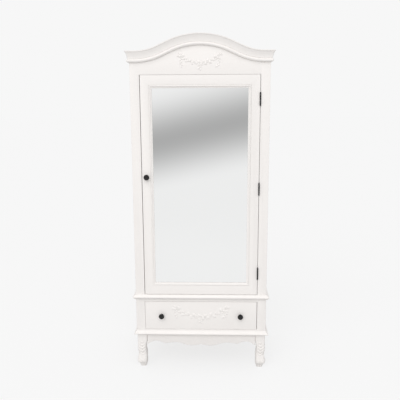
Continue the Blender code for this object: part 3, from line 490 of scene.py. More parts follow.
def sawn_wood(name, light, dark, stretch, roughness):
    """Unpainted wood or board."""
    material, tree, shader = new_material(name, Roughness=roughness, Specular_IOR_Level=WOOD_SHINE)
    grain = place_group(tree, GRAIN, {"Light": light, "Dark": dark, "Stretch": stretch})
    tree.links.new(grain["Color"], shader.inputs["Base Color"])
    bump(tree, shader, grain["Height"], SAWN_GRAIN_HEIGHT)
    return material


PLASTIC = moulded_plastic()
PINE = sawn_wood("sawn_pine", PINE_LIGHT, PINE_DARK, ALONG_DEPTH, PINE_ROUGHNESS)
PINE_ACROSS = sawn_wood("sawn_pine_across", PINE_LIGHT, PINE_DARK, ALONG_WIDTH, PINE_ROUGHNESS)
HARDBOARD = sawn_wood("hardboard", HARDBOARD_LIGHT, HARDBOARD_DARK, PRESSED_FIBRES, HARDBOARD_ROUGHNESS)
print("materials:", len(bpy.data.materials))

# %% [markdown]
# ## Finishes on the boards
#
# The flat boards already have the right shape in the frame, so they only get a finish. The brush direction
# is chosen by each board's longest side.

# %% Assign finishes to the frame's nodes
LENGTHWISE = (PAINT_LEVEL, PAINT_DEPTH, PAINT_UPRIGHT)
BY_SLOT = {"mirror": MIRROR, "black_metal": BLACK, "chrome": STEEL, "backing_board": HARDBOARD,
           "brown_plastic": PLASTIC}


def finish_for(node, slot):
    """The material of a frame node."""
    low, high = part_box(node)
    size = high - low
    longest = max(range(3), key=lambda axis: size[axis])
    if slot == "drawer_wood":
        return PINE_ACROSS if longest == 0 else PINE
    return BY_SLOT.get(slot) or LENGTHWISE[longest]


for entry in frame["record"]["subparts"]:
    board = NODES[entry["node"]]
    board.data.materials.clear()
    board.data.materials.append(finish_for(entry["node"], entry["material_slot"]))


# %% [markdown]
# ## Shape helpers
#
# Moulding profiles and turned knobs are made of arcs, so one helper gives the points of an arc. A shape is
# drawn with bmesh, welded, and given crisp edges. Every new piece ends the same way: it rides on a body,
# gets its material, and may hide the frame nodes that it stands for.


# %% Shape helpers
WELD_DISTANCE = 0.00001
SMOOTH_DEGREES = 35


def arc(centre, radius, start, end, steps=10):
    """Points on an arc between two angles in degrees, both ends included."""
    turns = [math.radians(start + (end - start) * step / steps) for step in range(steps + 1)]
    return [(centre[0] + radius * math.cos(turn), centre[1] + radius * math.sin(turn)) for turn in turns]


def tidy_mesh(shape, name, smooth_degrees=SMOOTH_DEGREES):
    """Weld a bmesh, turn its faces outwards and make it a mesh with crisp edges."""
    bmesh.ops.remove_doubles(shape, verts=shape.verts, dist=WELD_DISTANCE)
    bmesh.ops.recalc_face_normals(shape, faces=shape.faces)
    mesh = bpy.data.meshes.new(name)
    shape.to_mesh(mesh)
    shape.free()
    mesh.shade_smooth()
    mesh.set_sharp_from_angle(angle=math.radians(smooth_degrees))
    return mesh


def place_piece(name, mesh, material, body, slot, *nodes):
    """Show a finished mesh as a piece of a body, standing for frame nodes."""
    piece = bpy.data.objects.new(name, mesh)
    bpy.context.scene.collection.objects.link(piece)
    mesh.materials.clear()
    mesh.materials.append(material)
    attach(piece, body)
    if nodes:
        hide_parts(*nodes)
    print(name, len(mesh.polygons), "faces")
    return piece



print("shape helpers: arc, tidy_mesh, place_piece")


# %% [markdown]
# ## Helpers for Geometry Nodes
#
# A tree needs something to grow from, which here is always a line: a path, a section or a row of points. The
# tree's inputs are set by the identifiers of their sockets, because names can repeat. The evaluated result is
# then copied to a plain mesh, so no modifier is left on a finished piece.


# %% Geometry Nodes helpers
def line_object(name, points, closed=False):
    """A mesh of edges only: a path or a section for Geometry Nodes."""
    mesh = bpy.data.meshes.new(name)
    edges = [(index, index + 1) for index in range(len(points) - 1)]
    if closed:
        edges.append((len(points) - 1, 0))
    mesh.from_pydata([(*point, 0.0) if len(point) == 2 else point for point in points], edges, [])
    line = bpy.data.objects.new(name, mesh)
    bpy.context.scene.collection.objects.link(line)
    return line


def set_input(modifier, label, value):
    """Set a tree's named input through its socket's identifier."""
    for item in modifier.node_group.interface.items_tree:
        if item.item_type == "SOCKET" and item.in_out == "INPUT" and item.name == label:
            modifier[item.identifier] = value
            return
    raise KeyError(label)


def grow(base, tree, values, helpers=()):
    """Run a Geometry Nodes tree on a base object, and return the result as a plain mesh."""
    modifier = base.modifiers.new(tree.name, "NODES")
    modifier.node_group = tree
    for label, value in values.items():
        set_input(modifier, label, value)
    graph = bpy.context.evaluated_depsgraph_get()
    mesh = bpy.data.meshes.new_from_object(base.evaluated_get(graph))
    for spent in (base, *helpers):
        bpy.data.objects.remove(spent, do_unlink=True)
    return mesh


def clean(mesh, name, smooth_degrees=SMOOTH_DEGREES):
    """Weld a mesh that Geometry Nodes made."""
    shape = bmesh.new()
    shape.from_mesh(mesh)
    return tidy_mesh(shape, name, smooth_degrees)


print("tree helpers: line_object, set_input, grow, clean")


# %% [markdown]
# ## Mouldings
#
# The cornice, the waist moulding and the base moulding are strips run to a profile, carried round the front
# and both sides, and cut at 45 degrees where they meet. A strip along a path is what Geometry Nodes does
# best: Curve to Mesh carries the section, and Set Position cuts the mitre by moving each end point by its
# own reach. One tree makes all nine strips.

# %% The moulding tree
MITRE_GAP = FIT_GAP * 0.7
END_TOLERANCE = 0.0005


def moulding_tree():
    """A section carried along a path in the drawing plane, mitred, and set in its place."""
    tree, given, out = new_group(
        "run_moulding", "GeometryNodeTree",
        [("Geometry", "NodeSocketGeometry", None), ("Section", "NodeSocketObject", None),
         ("Half Length", "NodeSocketFloat", 0.4), ("Start Mitre", "NodeSocketFloat", 1.0),
         ("End Mitre", "NodeSocketFloat", 1.0), ("Turn", "NodeSocketVector", None),
         ("Place", "NodeSocketVector", None), ("Material", "NodeSocketMaterial", None)],
        [("Geometry", "NodeSocketGeometry")])
    path = add_node(tree, "GeometryNodeMeshToCurve", {0: given["Geometry"]})
    level = add_node(tree, "GeometryNodeSetCurveNormal", {0: path.outputs[0]}, mode="Z_UP")
    section = add_node(tree, "GeometryNodeObjectInfo", {"Object": given["Section"]})
    outline = add_node(tree, "GeometryNodeMeshToCurve", {0: section.outputs["Geometry"]})
    strip = add_node(tree, "GeometryNodeCurveToMesh",
                     {"Curve": level.outputs[0], "Profile Curve": outline.outputs[0], "Fill Caps": True})
    spot = add_node(tree, "ShaderNodeSeparateXYZ",
                    {0: add_node(tree, "GeometryNodeInputPosition").outputs[0]})
    limit = maths(tree, "SUBTRACT", given["Half Length"], END_TOLERANCE)
    at_end = maths(tree, "GREATER_THAN", spot.outputs[0], limit)
    at_start = maths(tree, "LESS_THAN", spot.outputs[0], maths(tree, "MULTIPLY", limit, -1.0))
    reach = maths(tree, "SUBTRACT", spot.outputs[2], MITRE_GAP)
    forward = maths(tree, "MULTIPLY", maths(tree, "MULTIPLY", at_end, given["End Mitre"]), reach)
    backward = maths(tree, "MULTIPLY", maths(tree, "MULTIPLY", at_start, given["Start Mitre"]), reach)
    shift = add_node(tree, "ShaderNodeCombineXYZ", {0: maths(tree, "SUBTRACT", forward, backward)})
    cut = add_node(tree, "GeometryNodeSetPosition",
                   {"Geometry": strip.outputs[0], "Offset": shift.outputs[0]})
    stood = add_node(tree, "GeometryNodeTransform",
                     {"Geometry": cut.outputs[0], "Translation": given["Place"], "Rotation": given["Turn"]})
    real = add_node(tree, "GeometryNodeRealizeInstances", {0: stood.outputs[0]})
    painted = add_node(tree, "GeometryNodeSetMaterial",
                       {"Geometry": real.outputs[0], "Material": given["Material"]})
    tree.links.new(painted.outputs[0], out["Geometry"])
    return tree


MOULDING = moulding_tree()


def run_moulding(name, node, section, path, half_length, mitres, facing, place, material):
    """One strip; facing is its turn about the upright axis, 0 for the front."""
    profile = line_object(name + "_section", [(-up, -out) for out, up in section], closed=True)
    base = line_object(name + "_path", path)
    mesh = grow(base, MOULDING, {
        "Section": profile, "Half Length": half_length, "Start Mitre": mitres[0], "End Mitre": mitres[1],
        "Turn": (math.pi / 2, 0.0, facing), "Place": place, "Material": material}, (profile,))
    return place_piece(name, clean(mesh, name), material, "carcass", "white_paint", node)


print("tree:", MOULDING.name)


# %% [markdown]
# ## Profiles
#
# The profiles are drawn as (reach from the face, height above the lower edge). The cornice has a half-round
# bead, a hollow fascia that leans out gently, and a thin square fillet. The waist moulding has its nose low,
# and the base moulding has it at the foot, under a long hollow.


# %% Profiles
CORNICE_BEAD_RADIUS, CORNICE_BEAD_SETBACK = 0.0095, 0.0040
CORNICE_BEAD_TURN = (-70, 75)
FASCIA_FOOT = (0.0082, 0.0202)
FASCIA_HOLLOW = 1.6
FILLET_HEIGHT, FILLET_STEP, FILLET_QUIRK = 0.0055, 0.0030, 0.0015
COVE_FOOT, COVE_RISE, COVE_RADIUS = 0.0070, 0.0012, 0.0055
COVE_TURN = (180, 100)
WAIST_NOSE_RADIUS, WAIST_NOSE_DROP = 0.0070, 0.0142
WAIST_NOSE_TURN = (-85, 62)
SLOPE_TOP = (0.0030, 0.0010)
BASE_NOSE_RADIUS = 0.0055
BASE_NOSE_TURN = (-88, 88)
HOLLOW_FOOT = (0.0084, 0.0125)
HOLLOW_TOP = (0.0012, 0.0020)
BASE_LIP = 0.0010


def reach_and_height(node):
    """How far a front moulding stands out from the face, and its height."""
    low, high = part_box(node)
    return FACE_Y - low.y, high.z - low.z


def cornice_section():
    """Bead, hollow fascia that leans out gently, and fillet, from the bottom up."""
    reach = FACE_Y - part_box("cornice_front")[0].y
    fillet_low = CORNICE_HEIGHT - FILLET_HEIGHT
    bead = arc((CORNICE_BEAD_SETBACK, CORNICE_BEAD_RADIUS), CORNICE_BEAD_RADIUS, *CORNICE_BEAD_TURN, 16)
    run = reach - FILLET_STEP - FASCIA_FOOT[0]
    rise = fillet_low - FILLET_QUIRK - FASCIA_FOOT[1]
    steps = 14
    fascia = [(FASCIA_FOOT[0] + run * (step / steps) ** FASCIA_HOLLOW, FASCIA_FOOT[1] + rise * step / steps)
              for step in range(steps + 1)]
    return ([(FIT_GAP, 0.0)] + bead + fascia
            + [(reach, fillet_low), (reach, CORNICE_HEIGHT), (FIT_GAP, CORNICE_HEIGHT)])


def waist_section():
    """A rounded nose set low, a slope over it and a small cove under it."""
    reach, height = reach_and_height("waist_moulding_front")
    cove = arc((COVE_FOOT + COVE_RADIUS, COVE_RISE), COVE_RADIUS, *COVE_TURN, 8)
    nose_centre = (reach - WAIST_NOSE_RADIUS, height - WAIST_NOSE_DROP)
    nose = arc(nose_centre, WAIST_NOSE_RADIUS, *WAIST_NOSE_TURN, 14)
    slope = [(SLOPE_TOP[0], height - SLOPE_TOP[1])]
    return [(FIT_GAP, 0.0), (COVE_FOOT, 0.0)] + cove + nose + slope + [(FIT_GAP, height)]


def base_section():
    """A small rounded nose, and a long hollow that rises to the face."""
    reach, height = reach_and_height("base_moulding_front")
    nose = arc((reach - BASE_NOSE_RADIUS, BASE_NOSE_RADIUS), BASE_NOSE_RADIUS, *BASE_NOSE_TURN, 14)
    run = HOLLOW_FOOT[0] - HOLLOW_TOP[0]
    rise = height - HOLLOW_TOP[1] - HOLLOW_FOOT[1]
    steps = 8
    hollow = [(HOLLOW_TOP[0] + run * (1 - math.sin(math.pi / 2 * step / steps)),
               HOLLOW_FOOT[1] + rise * step / steps) for step in range(steps + 1)]
    return [(FIT_GAP, 0.0)] + nose + hollow + [(BASE_LIP, height), (FIT_GAP, height)]


print("points in each profile:", [len(draw()) for draw in (cornice_section, waist_section, base_section)])


# %% [markdown]
# ## The arch
#
# The cornice rises over the door in one arch. A joiner sets it out with a compass: a crest arc, the same turn
# the other way at each shoulder, and a straight slope that both meet. The turn that makes the rise come out
# right has no short formula, so a loop closes in on it.


# %% The arch


def arch_path(steps=28):
    """The cornice's lower edge from end to end: flat, hollow, slope, arch, and back."""
    rise = CREST_Z - CORNICE_Z
    both = CREST_RADIUS + SHOULDER_RADIUS
    turn = 2 * math.atan(rise / ARCH_HALF_SPAN)
    for _ in range(40):
        slope = (ARCH_HALF_SPAN - both * math.sin(turn)) / math.cos(turn)
        height = both * (1 - math.cos(turn)) + slope * math.sin(turn)
        turn += (rise - height) / both
    crest = [(CREST_RADIUS * math.sin(turn * step / steps),
              CREST_Z - CREST_RADIUS * (1 - math.cos(turn * step / steps))) for step in range(1, steps + 1)]
    hollow = [(ARCH_HALF_SPAN - SHOULDER_RADIUS * math.sin(turn * step / steps),
               CORNICE_Z + SHOULDER_RADIUS * (1 - math.cos(turn * step / steps)))
              for step in range(steps, -1, -1)]
    right = crest + hollow + [(HALF_WIDTH, CORNICE_Z)]
    return [(-across, up) for across, up in reversed(right)] + [(0.0, CREST_Z)] + right


print("arch points:", len(arch_path()), "rise", round(CREST_Z - CORNICE_Z, 4))


# %% [markdown]
# ## Running the mouldings
#
# Each moulding is a band of three strips: a front one with a mitre at both ends, and a return on each side
# with a mitre at its front end only. The returns are the same strip turned a quarter, so one function runs
# all three, and only the cornice's front strip gets the arch as its path.


# %% Run the mouldings
def moulding_band(stem, section, height, path=None):
    """Front strip and two returns."""
    front_path = path or [(-HALF_WIDTH, 0.0), (HALF_WIDTH, 0.0)]
    front_z = 0.0 if path else height
    half_depth = (BACK_Y - FACE_Y) / 2
    side_path = [(-half_depth, 0.0), (half_depth, 0.0)]
    run_moulding(stem + "_front_strip", stem + "_front", section, front_path, HALF_WIDTH, (1.0, 1.0),
                 0.0, (0.0, FACE_Y, front_z), PAINT_LEVEL)
    for side, sign in SIDES:
        run_moulding(stem + "_" + side + "_strip", stem + "_" + side, section, side_path, half_depth,
                     (float(sign > 0), float(sign < 0)), sign * math.pi / 2,
                     (sign * HALF_WIDTH, (FACE_Y + BACK_Y) / 2, height), PAINT_DEPTH)


moulding_band("cornice", cornice_section(), CORNICE_Z, arch_path())
moulding_band("waist_moulding", waist_section(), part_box("waist_moulding_left")[0].z)
moulding_band("base_moulding", base_section(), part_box("base_moulding_left")[0].z)

# %% [markdown]
# ## Legs
#
# A carver saws the curve of a cabriole leg from a square block, rounds it, and cuts a leaf into the knee and
# a scroll into the foot. The curve is a smooth line through a few measures, given as shares of the leg's
# height and of its width at the top. The leaf and the scroll are rules that say how high the carving stands
# at a point, so it is real geometry and not only a bump in the paint.

# %% The curve of a leg
LEG_TOP_HALF = 0.030
# share of the height, share of the width at the top, lean outwards in metres
LEG_CURVE = (
    (1.000, 1.000, 0.0000), (0.780, 0.993, 0.0003), (0.640, 0.883, 0.0034), (0.550, 0.877, 0.0040),
    (0.455, 0.893, 0.0016), (0.390, 0.887, 0.0000), (0.300, 0.943, 0.0014), (0.185, 1.013, 0.0034),
    (0.137, 0.987, 0.0025), (0.100, 0.860, -0.0006), (0.055, 0.717, -0.0014), (0.000, 0.593, -0.0014),
)
LEG_RINGS = 120
LEG_ROUND = 72
SQUARE_POWER, ROUND_POWER = 7.0, 3.0


def smooth_between(share):
    """Width share and lean at a share of the height, on a smooth curve through the measures."""
    rows = sorted(LEG_CURVE)
    index = max(i for i in range(len(rows) - 1) if rows[i][0] <= share)
    part = (share - rows[index][0]) / (rows[index + 1][0] - rows[index][0])
    values = []
    for column in (1, 2):
        near, far = rows[index][column], rows[index + 1][column]
        before = rows[max(index - 1, 0)][column]
        after = rows[min(index + 2, len(rows) - 1)][column]
        start_slope, end_slope = (far - before) / 2, (after - near) / 2
        values.append(near + part * start_slope
                      + part * part * (3 * (far - near) - 2 * start_slope - end_slope)
                      + part ** 3 * (2 * (near - far) + start_slope + end_slope))
    return values


print("width share and lean halfway up:", [round(value, 4) for value in smooth_between(0.5)])


# %% [markdown]
# ## Carving on the legs
#
# A leaf with a middle ridge and slanting veins lies on the knee, and a small spiral on the foot. Each is a
# height that depends only on the place on the leg's face, which is how a carver thinks of relief too.


# %% Leaf and scroll relief
LEAF_TIP, LEAF_TOP = 0.082, 0.170
LEAF_HALF_WIDTH = 0.0215
LEAF_BLUNTNESS = 0.6
LEAF_START = 0.1
VEIN_PITCH = 0.0200
VEIN_SLANT = 0.8
VEIN_HEIGHT, LEAF_GROUND_DEPTH = 0.0042, 0.0024
RIDGE_HALF_WIDTH, RIDGE_HEIGHT = 0.0022, 0.0012
SCROLL_Z, SCROLL_RADIUS = 0.040, 0.0125
SCROLL_PITCH, SCROLL_HEIGHT = 0.0050, 0.0020
SCROLL_BOSS_SHARE = 0.30


def wave(turns):
    """A soft ridge and valley for each whole turn, between 0 and 1."""
    return 0.5 + 0.5 * math.cos(2 * math.pi * turns)


def leaf_relief(across, up):
    """Height of the carved leaf: a rounded outline, cut by slanting veins."""
    share = (up - LEAF_TIP) / (LEAF_TOP - LEAF_TIP)
    if not 0.0 < share < 1.0:
        return 0.0
    grown = min(share * (1 - LEAF_START) + LEAF_START, 1.0)
    half = LEAF_HALF_WIDTH * math.sin(math.pi * grown) ** LEAF_BLUNTNESS
    if abs(across) >= half:
        return 0.0
    swell = (1 - (across / half) ** 2) ** 0.5
    veins = wave((up - VEIN_SLANT * abs(across)) / VEIN_PITCH)
    ridge = math.exp(-(across / RIDGE_HALF_WIDTH) ** 2)
    return swell * (VEIN_HEIGHT * veins - LEAF_GROUND_DEPTH) + RIDGE_HEIGHT * ridge


def scroll_relief(across, up):
    """Height of the small scroll on the foot: a spiral ridge on a low boss."""
    reach = math.hypot(across, up - SCROLL_Z)
    if reach >= SCROLL_RADIUS:
        return 0.0
    turn = math.atan2(up - SCROLL_Z, across) / (2 * math.pi)
    spiral = wave(reach / SCROLL_PITCH - turn)
    boss = SCROLL_HEIGHT * (1 - (reach / SCROLL_RADIUS) ** 2)
    return boss * (SCROLL_BOSS_SHARE + (1 - SCROLL_BOSS_SHARE) * spiral)


print("leaf height in mm at its middle:", round(1000 * leaf_relief(0.0, (LEAF_TIP + LEAF_TOP) / 2), 2))


# %% [markdown]
# ## Carving the legs out
#
# The leg is a loft through many rounded squares, and each point is moved out along its own direction by the
# relief of the face it belongs to. All four legs are one function: the signs of left or right and of front or
# rear turn the lean and the carving the right way, and the rear faces stay plain against the wall.


# %% Carve the legs
LEG_INSET = 0.0015
CARVED_FACING = 0.6
LEG_SMOOTH_DEGREES = 60


def loft(rings):
    """A closed bmesh skin over rings that have the same number of points."""
    shape = bmesh.new()
    rows = [[shape.verts.new(point) for point in ring] for ring in rings]
    for upper, lower in zip(rows, rows[1:]):
        for index in range(len(upper)):
            shape.faces.new((upper[index - 1], upper[index], lower[index], lower[index - 1]))
    shape.faces.new(rows[0])
    shape.faces.new(rows[-1])
    return shape


def leg_ring(share, side_sign, depth_sign, centre):
    """One ring of a leg, with the carving on its outward faces."""
    width_share, lean = smooth_between(share)
    half = LEG_TOP_HALF * width_share
    height = share * LEG_HEIGHT
    power = ROUND_POWER + (SQUARE_POWER - ROUND_POWER) * share ** 2
    ring = []
    for step in range(LEG_ROUND):
        angle = 2 * math.pi * step / LEG_ROUND
        cosine, sine = math.cos(angle), math.sin(angle)
        radius = half / (abs(cosine) ** power + abs(sine) ** power) ** (1 / power)
        across, along = radius * cosine, radius * sine
        faces = ((sine * depth_sign, across), (cosine * side_sign, along))
        for facing, offset in faces:
            carved_face = facing > CARVED_FACING and not (facing == sine * depth_sign and depth_sign > 0)
            if carved_face:
                relief = leaf_relief(offset, height) + scroll_relief(offset, height)
                across += cosine * relief
                along += sine * relief
        ring.append((centre[0] + across + side_sign * lean,
                     centre[1] + along + min(depth_sign, 0) * lean, height))
    return ring


for place, depth_sign in (("front", -1), ("rear", 1)):
    for side, sign in SIDES:
        node = "leg_" + place + "_" + side
        inset = LEG_INSET + LEG_TOP_HALF
        middle = (sign * (HALF_WIDTH - inset),
                  (FACE_Y if depth_sign < 0 else BACK_Y) - depth_sign * inset)
        rings = [leg_ring(1 - step / LEG_RINGS, sign, depth_sign, middle) for step in range(LEG_RINGS + 1)]
        leg = tidy_mesh(loft(rings), node, LEG_SMOOTH_DEGREES)
        place_piece(node + "_carved", leg, PAINT_CARVED, "carcass", "white_paint", node)

# %% [markdown]
# ## Sawn boards
#
# The front apron is sawn to a double scallop and its edges are rounded with a file. A flat outline made solid
# and then bevelled does the same. The outline's curves are cosine eases between the points where the
# scallops turn.


# %% Saw a board to an outline
ROUND_OVER, ROUND_OVER_STEPS = 0.0020, 3
FLAT_ENOUGH = 0.01
ROUNDED_FROM = math.radians(60)


def ease(start, end, steps, start_flat, end_flat):
    """Points from start to end, level where an end is flat."""
    points = []
    for step in range(steps):
        share = step / steps
        if start_flat and end_flat:
            blend = (1 - math.cos(math.pi * share)) / 2
        elif start_flat:
            blend = 1 - math.cos(math.pi / 2 * share)
        else:
            blend = math.sin(math.pi / 2 * share)
        points.append((start[0] + (end[0] - start[0]) * share, start[1] + (end[1] - start[1]) * blend))
    return points


def sawn_board(outline, low_y, high_y, openings=(), round_over=ROUND_OVER, turned_to_side=False):
    """A bmesh board sawn to an outline, with openings cut in it and its edges rounded."""
    shape = bmesh.new()
    rims = []
    for loop in (outline, *openings):
        points = [(low_y, across, up) if turned_to_side else (across, low_y, up) for across, up in loop]
        corners = [shape.verts.new(point) for point in points]
        rims += [shape.edges.new((corners[index - 1], corners[index])) for index in range(len(corners))]
    bmesh.ops.triangle_fill(shape, edges=rims, use_beauty=True)
    bmesh.ops.dissolve_limit(shape, angle_limit=FLAT_ENOUGH, verts=shape.verts, edges=shape.edges,
                             delimit=set())
    thick = bmesh.ops.extrude_face_region(shape, geom=list(shape.faces))["geom"]
    moved = [part for part in thick if isinstance(part, bmesh.types.BMVert)]
    push = Vector((high_y - low_y, 0.0, 0.0)) if turned_to_side else Vector((0.0, high_y - low_y, 0.0))
    bmesh.ops.translate(shape, vec=push, verts=moved)
    bmesh.ops.recalc_face_normals(shape, faces=shape.faces)
    axis = 0 if turned_to_side else 1
    sharp = [edge for edge in shape.edges if len(edge.link_faces) == 2
             and abs(edge.verts[0].co[axis] - edge.verts[1].co[axis]) < WELD_DISTANCE
             and edge.calc_face_angle() > ROUNDED_FROM]
    bmesh.ops.bevel(shape, geom=sharp, offset=round_over, segments=ROUND_OVER_STEPS, profile=0.5,
                    affect="EDGES")
    return shape


print("board helpers: ease, sawn_board")


# %% [markdown]
# ## Aprons
#
# The front apron hangs in two scallops on each side of a small notch. Its middle lobes keep their distance
# from the middle, and the outer ones keep theirs from the legs, so a wider wardrobe gets a longer curve
# between them. The side aprons are one plain hollow.


# %% The scalloped aprons
# each turning point: across, and down from the top of the legs
NOTCH_DROP, LOBE = 0.070, (0.060, 0.079)
# these are measured inwards from the leg
RISE, CUSP, CROWN = (0.1727, 0.058), (0.1077, 0.067), (0.0527, 0.0495)
END_DROP = 0.074
SIDE_APRON_HOLLOW = 0.014


def front_apron_outline():
    """The double scallop: middle lobes placed from the middle, outer scallops from the legs."""
    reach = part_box("apron_front")[1].x
    turning = [(0.0, NOTCH_DROP), LOBE] + [(reach - inward, drop) for inward, drop in (RISE, CUSP, CROWN)]
    turning.append((reach, END_DROP))
    notch, lobe, rise, cusp, crown, end = [(across, LEG_HEIGHT + FIT_GAP - drop) for across, drop in turning]
    right = (ease(notch, lobe, 8, False, True) + ease(lobe, rise, 14, True, True)
             + ease(rise, cusp, 8, True, False) + ease(cusp, crown, 8, False, True)
             + ease(crown, end, 10, True, False) + [end])
    left = [(-across, up) for across, up in reversed(right[1:])]
    return left + right + [(reach, LEG_HEIGHT), (-reach, LEG_HEIGHT)]


def side_apron_outline(side):
    """A plain hollow curve between the front and rear legs."""
    low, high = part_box("apron_" + side)
    middle, reach = (low.y + high.y) / 2, (high.y - low.y) / 2
    half = ease((0.0, low.z + SIDE_APRON_HOLLOW), (reach, low.z), 16, True, False) + [(reach, low.z)]
    lower = [(-across, up) for across, up in reversed(half[1:])] + half
    outline = lower + [(reach, high.z), (-reach, high.z)]
    return [(middle + across, up) for across, up in outline]


low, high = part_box("apron_front")
place_piece("apron_front_sawn", tidy_mesh(sawn_board(front_apron_outline(), low.y, high.y), "apron_front"),
            PAINT_LEVEL, "carcass", "white_paint", "apron_front")
for side, sign in SIDES:
    low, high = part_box("apron_" + side)
    board = sawn_board(side_apron_outline(side), low.x, high.x, turned_to_side=True)
    place_piece("apron_" + side + "_sawn", tidy_mesh(board, "apron_" + side), PAINT_DEPTH, "carcass",
                "white_paint", "apron_" + side)

# %% [markdown]
# ## Painted frames
#
# Under the paint the front is made of boards: stiles, rails and an arched frieze, and the door is a frame of
# four. The paint has filled their joints, so no line shows where they meet. That is why each frame is one
# skin here, with its openings cut in it and every free edge rounded over. The drawer front is a plain
# board, and it and the door nearly fill their openings.


# %% Face frame, door frame and drawer front
FACE_ROUND_OVER, CRISP_ROUND_OVER = 0.0018, 0.0010
ARCH_END_MARGIN = 0.002
DOOR_GROWTH_RIGHT, DOOR_GROWTH_LOW, DOOR_GROWTH_HIGH = 0.0008, 0.0012, 0.0022
DRAWER_GROWTH_LEFT, DRAWER_GROWTH_UP_DOWN = 0.0014, 0.0013


def rectangle(left, right, low, high):
    """Four corners."""
    return [(left, low), (right, low), (right, high), (left, high)]


def frame_skin(name, body, outline, openings, nodes, material=PAINT_UPRIGHT, round_over=FACE_ROUND_OVER):
    """A painted frame that stands for several boards."""
    low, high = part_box(nodes[0])
    board = sawn_board(outline, low.y, high.y, openings, round_over)
    place_piece(name, tidy_mesh(board, name), material, body, "white_paint", *nodes)


STILE_LOW, STILE_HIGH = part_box("front_stile_left")
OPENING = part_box("front_stile_right")[0].x
FRIEZE_LOW, FRIEZE_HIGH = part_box("frieze_board")[0].z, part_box("frieze_board")[1].z
WAIST_RAIL, BASE_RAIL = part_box("waist_rail"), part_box("base_rail")
arch_top = [(across, up + FRIEZE_HIGH - CREST_Z) for across, up in reversed(arch_path())
            if abs(across) < OPENING - ARCH_END_MARGIN]
face_outline = ([(-HALF_WIDTH, STILE_LOW.z), (HALF_WIDTH, STILE_LOW.z), (HALF_WIDTH, STILE_HIGH.z),
                 (OPENING, STILE_HIGH.z)] + arch_top
                + [(-OPENING, STILE_HIGH.z), (-HALF_WIDTH, STILE_HIGH.z)])
frame_skin("face_frame", "carcass", face_outline,
           [rectangle(-OPENING, OPENING, WAIST_RAIL[1].z, FRIEZE_LOW),
            rectangle(-OPENING, OPENING, BASE_RAIL[1].z, WAIST_RAIL[0].z)],
           ("front_stile_left", "front_stile_right", "waist_rail", "base_rail", "frieze_board"))

DOOR_LEFT, DOOR_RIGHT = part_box("door_stile_left")[0].x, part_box("door_stile_right")[1].x
GLASS_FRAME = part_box("mirror_moulding")
frame_skin("door_frame", "door",
           rectangle(DOOR_LEFT, DOOR_RIGHT + DOOR_GROWTH_RIGHT, DOOR_LOW - DOOR_GROWTH_LOW,
                     DOOR_HIGH + DOOR_GROWTH_HIGH),
           [rectangle(GLASS_FRAME[0].x, GLASS_FRAME[1].x, GLASS_FRAME[0].z, GLASS_FRAME[1].z)],
           ("door_stile_left", "door_stile_right", "door_rail_top", "door_rail_bottom"),
           round_over=CRISP_ROUND_OVER)
frame_skin("drawer_front_board", "drawer",
           rectangle(DRAWER_LOW.x - DRAWER_GROWTH_LEFT, DRAWER_HIGH.x, DRAWER_LOW.z - DRAWER_GROWTH_UP_DOWN,
                     DRAWER_HIGH.z + DRAWER_GROWTH_UP_DOWN), [],
           ("drawer_front",), PAINT_LEVEL, CRISP_ROUND_OVER)

# %% [markdown]
# ## The moulding round the mirror
#
# Four mitred lengths hold the mirror in the door. Because it is a rectangle, each point of the section
# simply moves in from all four sides by the same amount, which makes every mitre exact.


# %% Mirror moulding
MIRROR_MOULDING_WIDTH = 0.017
MIRROR_SMOOTH_DEGREES = 40
EDGE_DROP = 0.0004
MIRROR_BEAD_CENTRE, MIRROR_BEAD_RADIUS, MIRROR_BEAD_TURN = (0.0052, 0.0022), 0.0032, (165, 10)
QUIRK = (0.0088, 0.0030)
OGEE_START, OGEE_RUN, OGEE_FALL = (0.0092, 0.0030), 0.0066, 0.0030
SIGHT_EDGE_DROP = 0.0064


def mirror_section(width, depth):
    """(inward from the door frame, behind its face): bead, quirk, ogee and sight edge."""
    bead = [(MIRROR_BEAD_CENTRE[0] + x, MIRROR_BEAD_CENTRE[1] - y)
            for x, y in arc((0.0, 0.0), MIRROR_BEAD_RADIUS, *MIRROR_BEAD_TURN, 12)]
    steps = 8
    ogee = [(OGEE_START[0] + OGEE_RUN * step / steps,
             OGEE_START[1] + OGEE_FALL * (1 - math.cos(math.pi * step / steps)) / 2)
            for step in range(steps + 1)]
    return ([(0.0, depth), (0.0, EDGE_DROP)] + bead + [QUIRK] + ogee
            + [(width, SIGHT_EDGE_DROP), (width, depth)])


def mirror_frame():
    """The whole moulding as one loft of rectangles."""
    low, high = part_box("mirror_moulding")
    shape = bmesh.new()
    rows = []
    for inward, depth in mirror_section(MIRROR_MOULDING_WIDTH, high.y - FACE_Y):
        corners = ((low.x + inward, low.z + inward), (high.x - inward, low.z + inward),
                   (high.x - inward, high.z - inward), (low.x + inward, high.z - inward))
        rows.append([shape.verts.new((across, FACE_Y + depth, up)) for across, up in corners])
    for index in range(len(rows)):
        for corner in range(4):
            shape.faces.new((rows[index - 1][corner - 1], rows[index - 1][corner],
                             rows[index][corner], rows[index][corner - 1]))
    return shape


place_piece("mirror_moulding_run", tidy_mesh(mirror_frame(), "mirror_moulding", MIRROR_SMOOTH_DEGREES),
            PAINT_UPRIGHT, "door", "white_paint", "mirror_moulding")


# %% [markdown]
# ## Knobs
#
# Each knob is turned on a lathe: a foot, a thin neck and a domed head. Spinning the profile round the
# knob's axis is the same operation, with enough steps for a smooth rim.


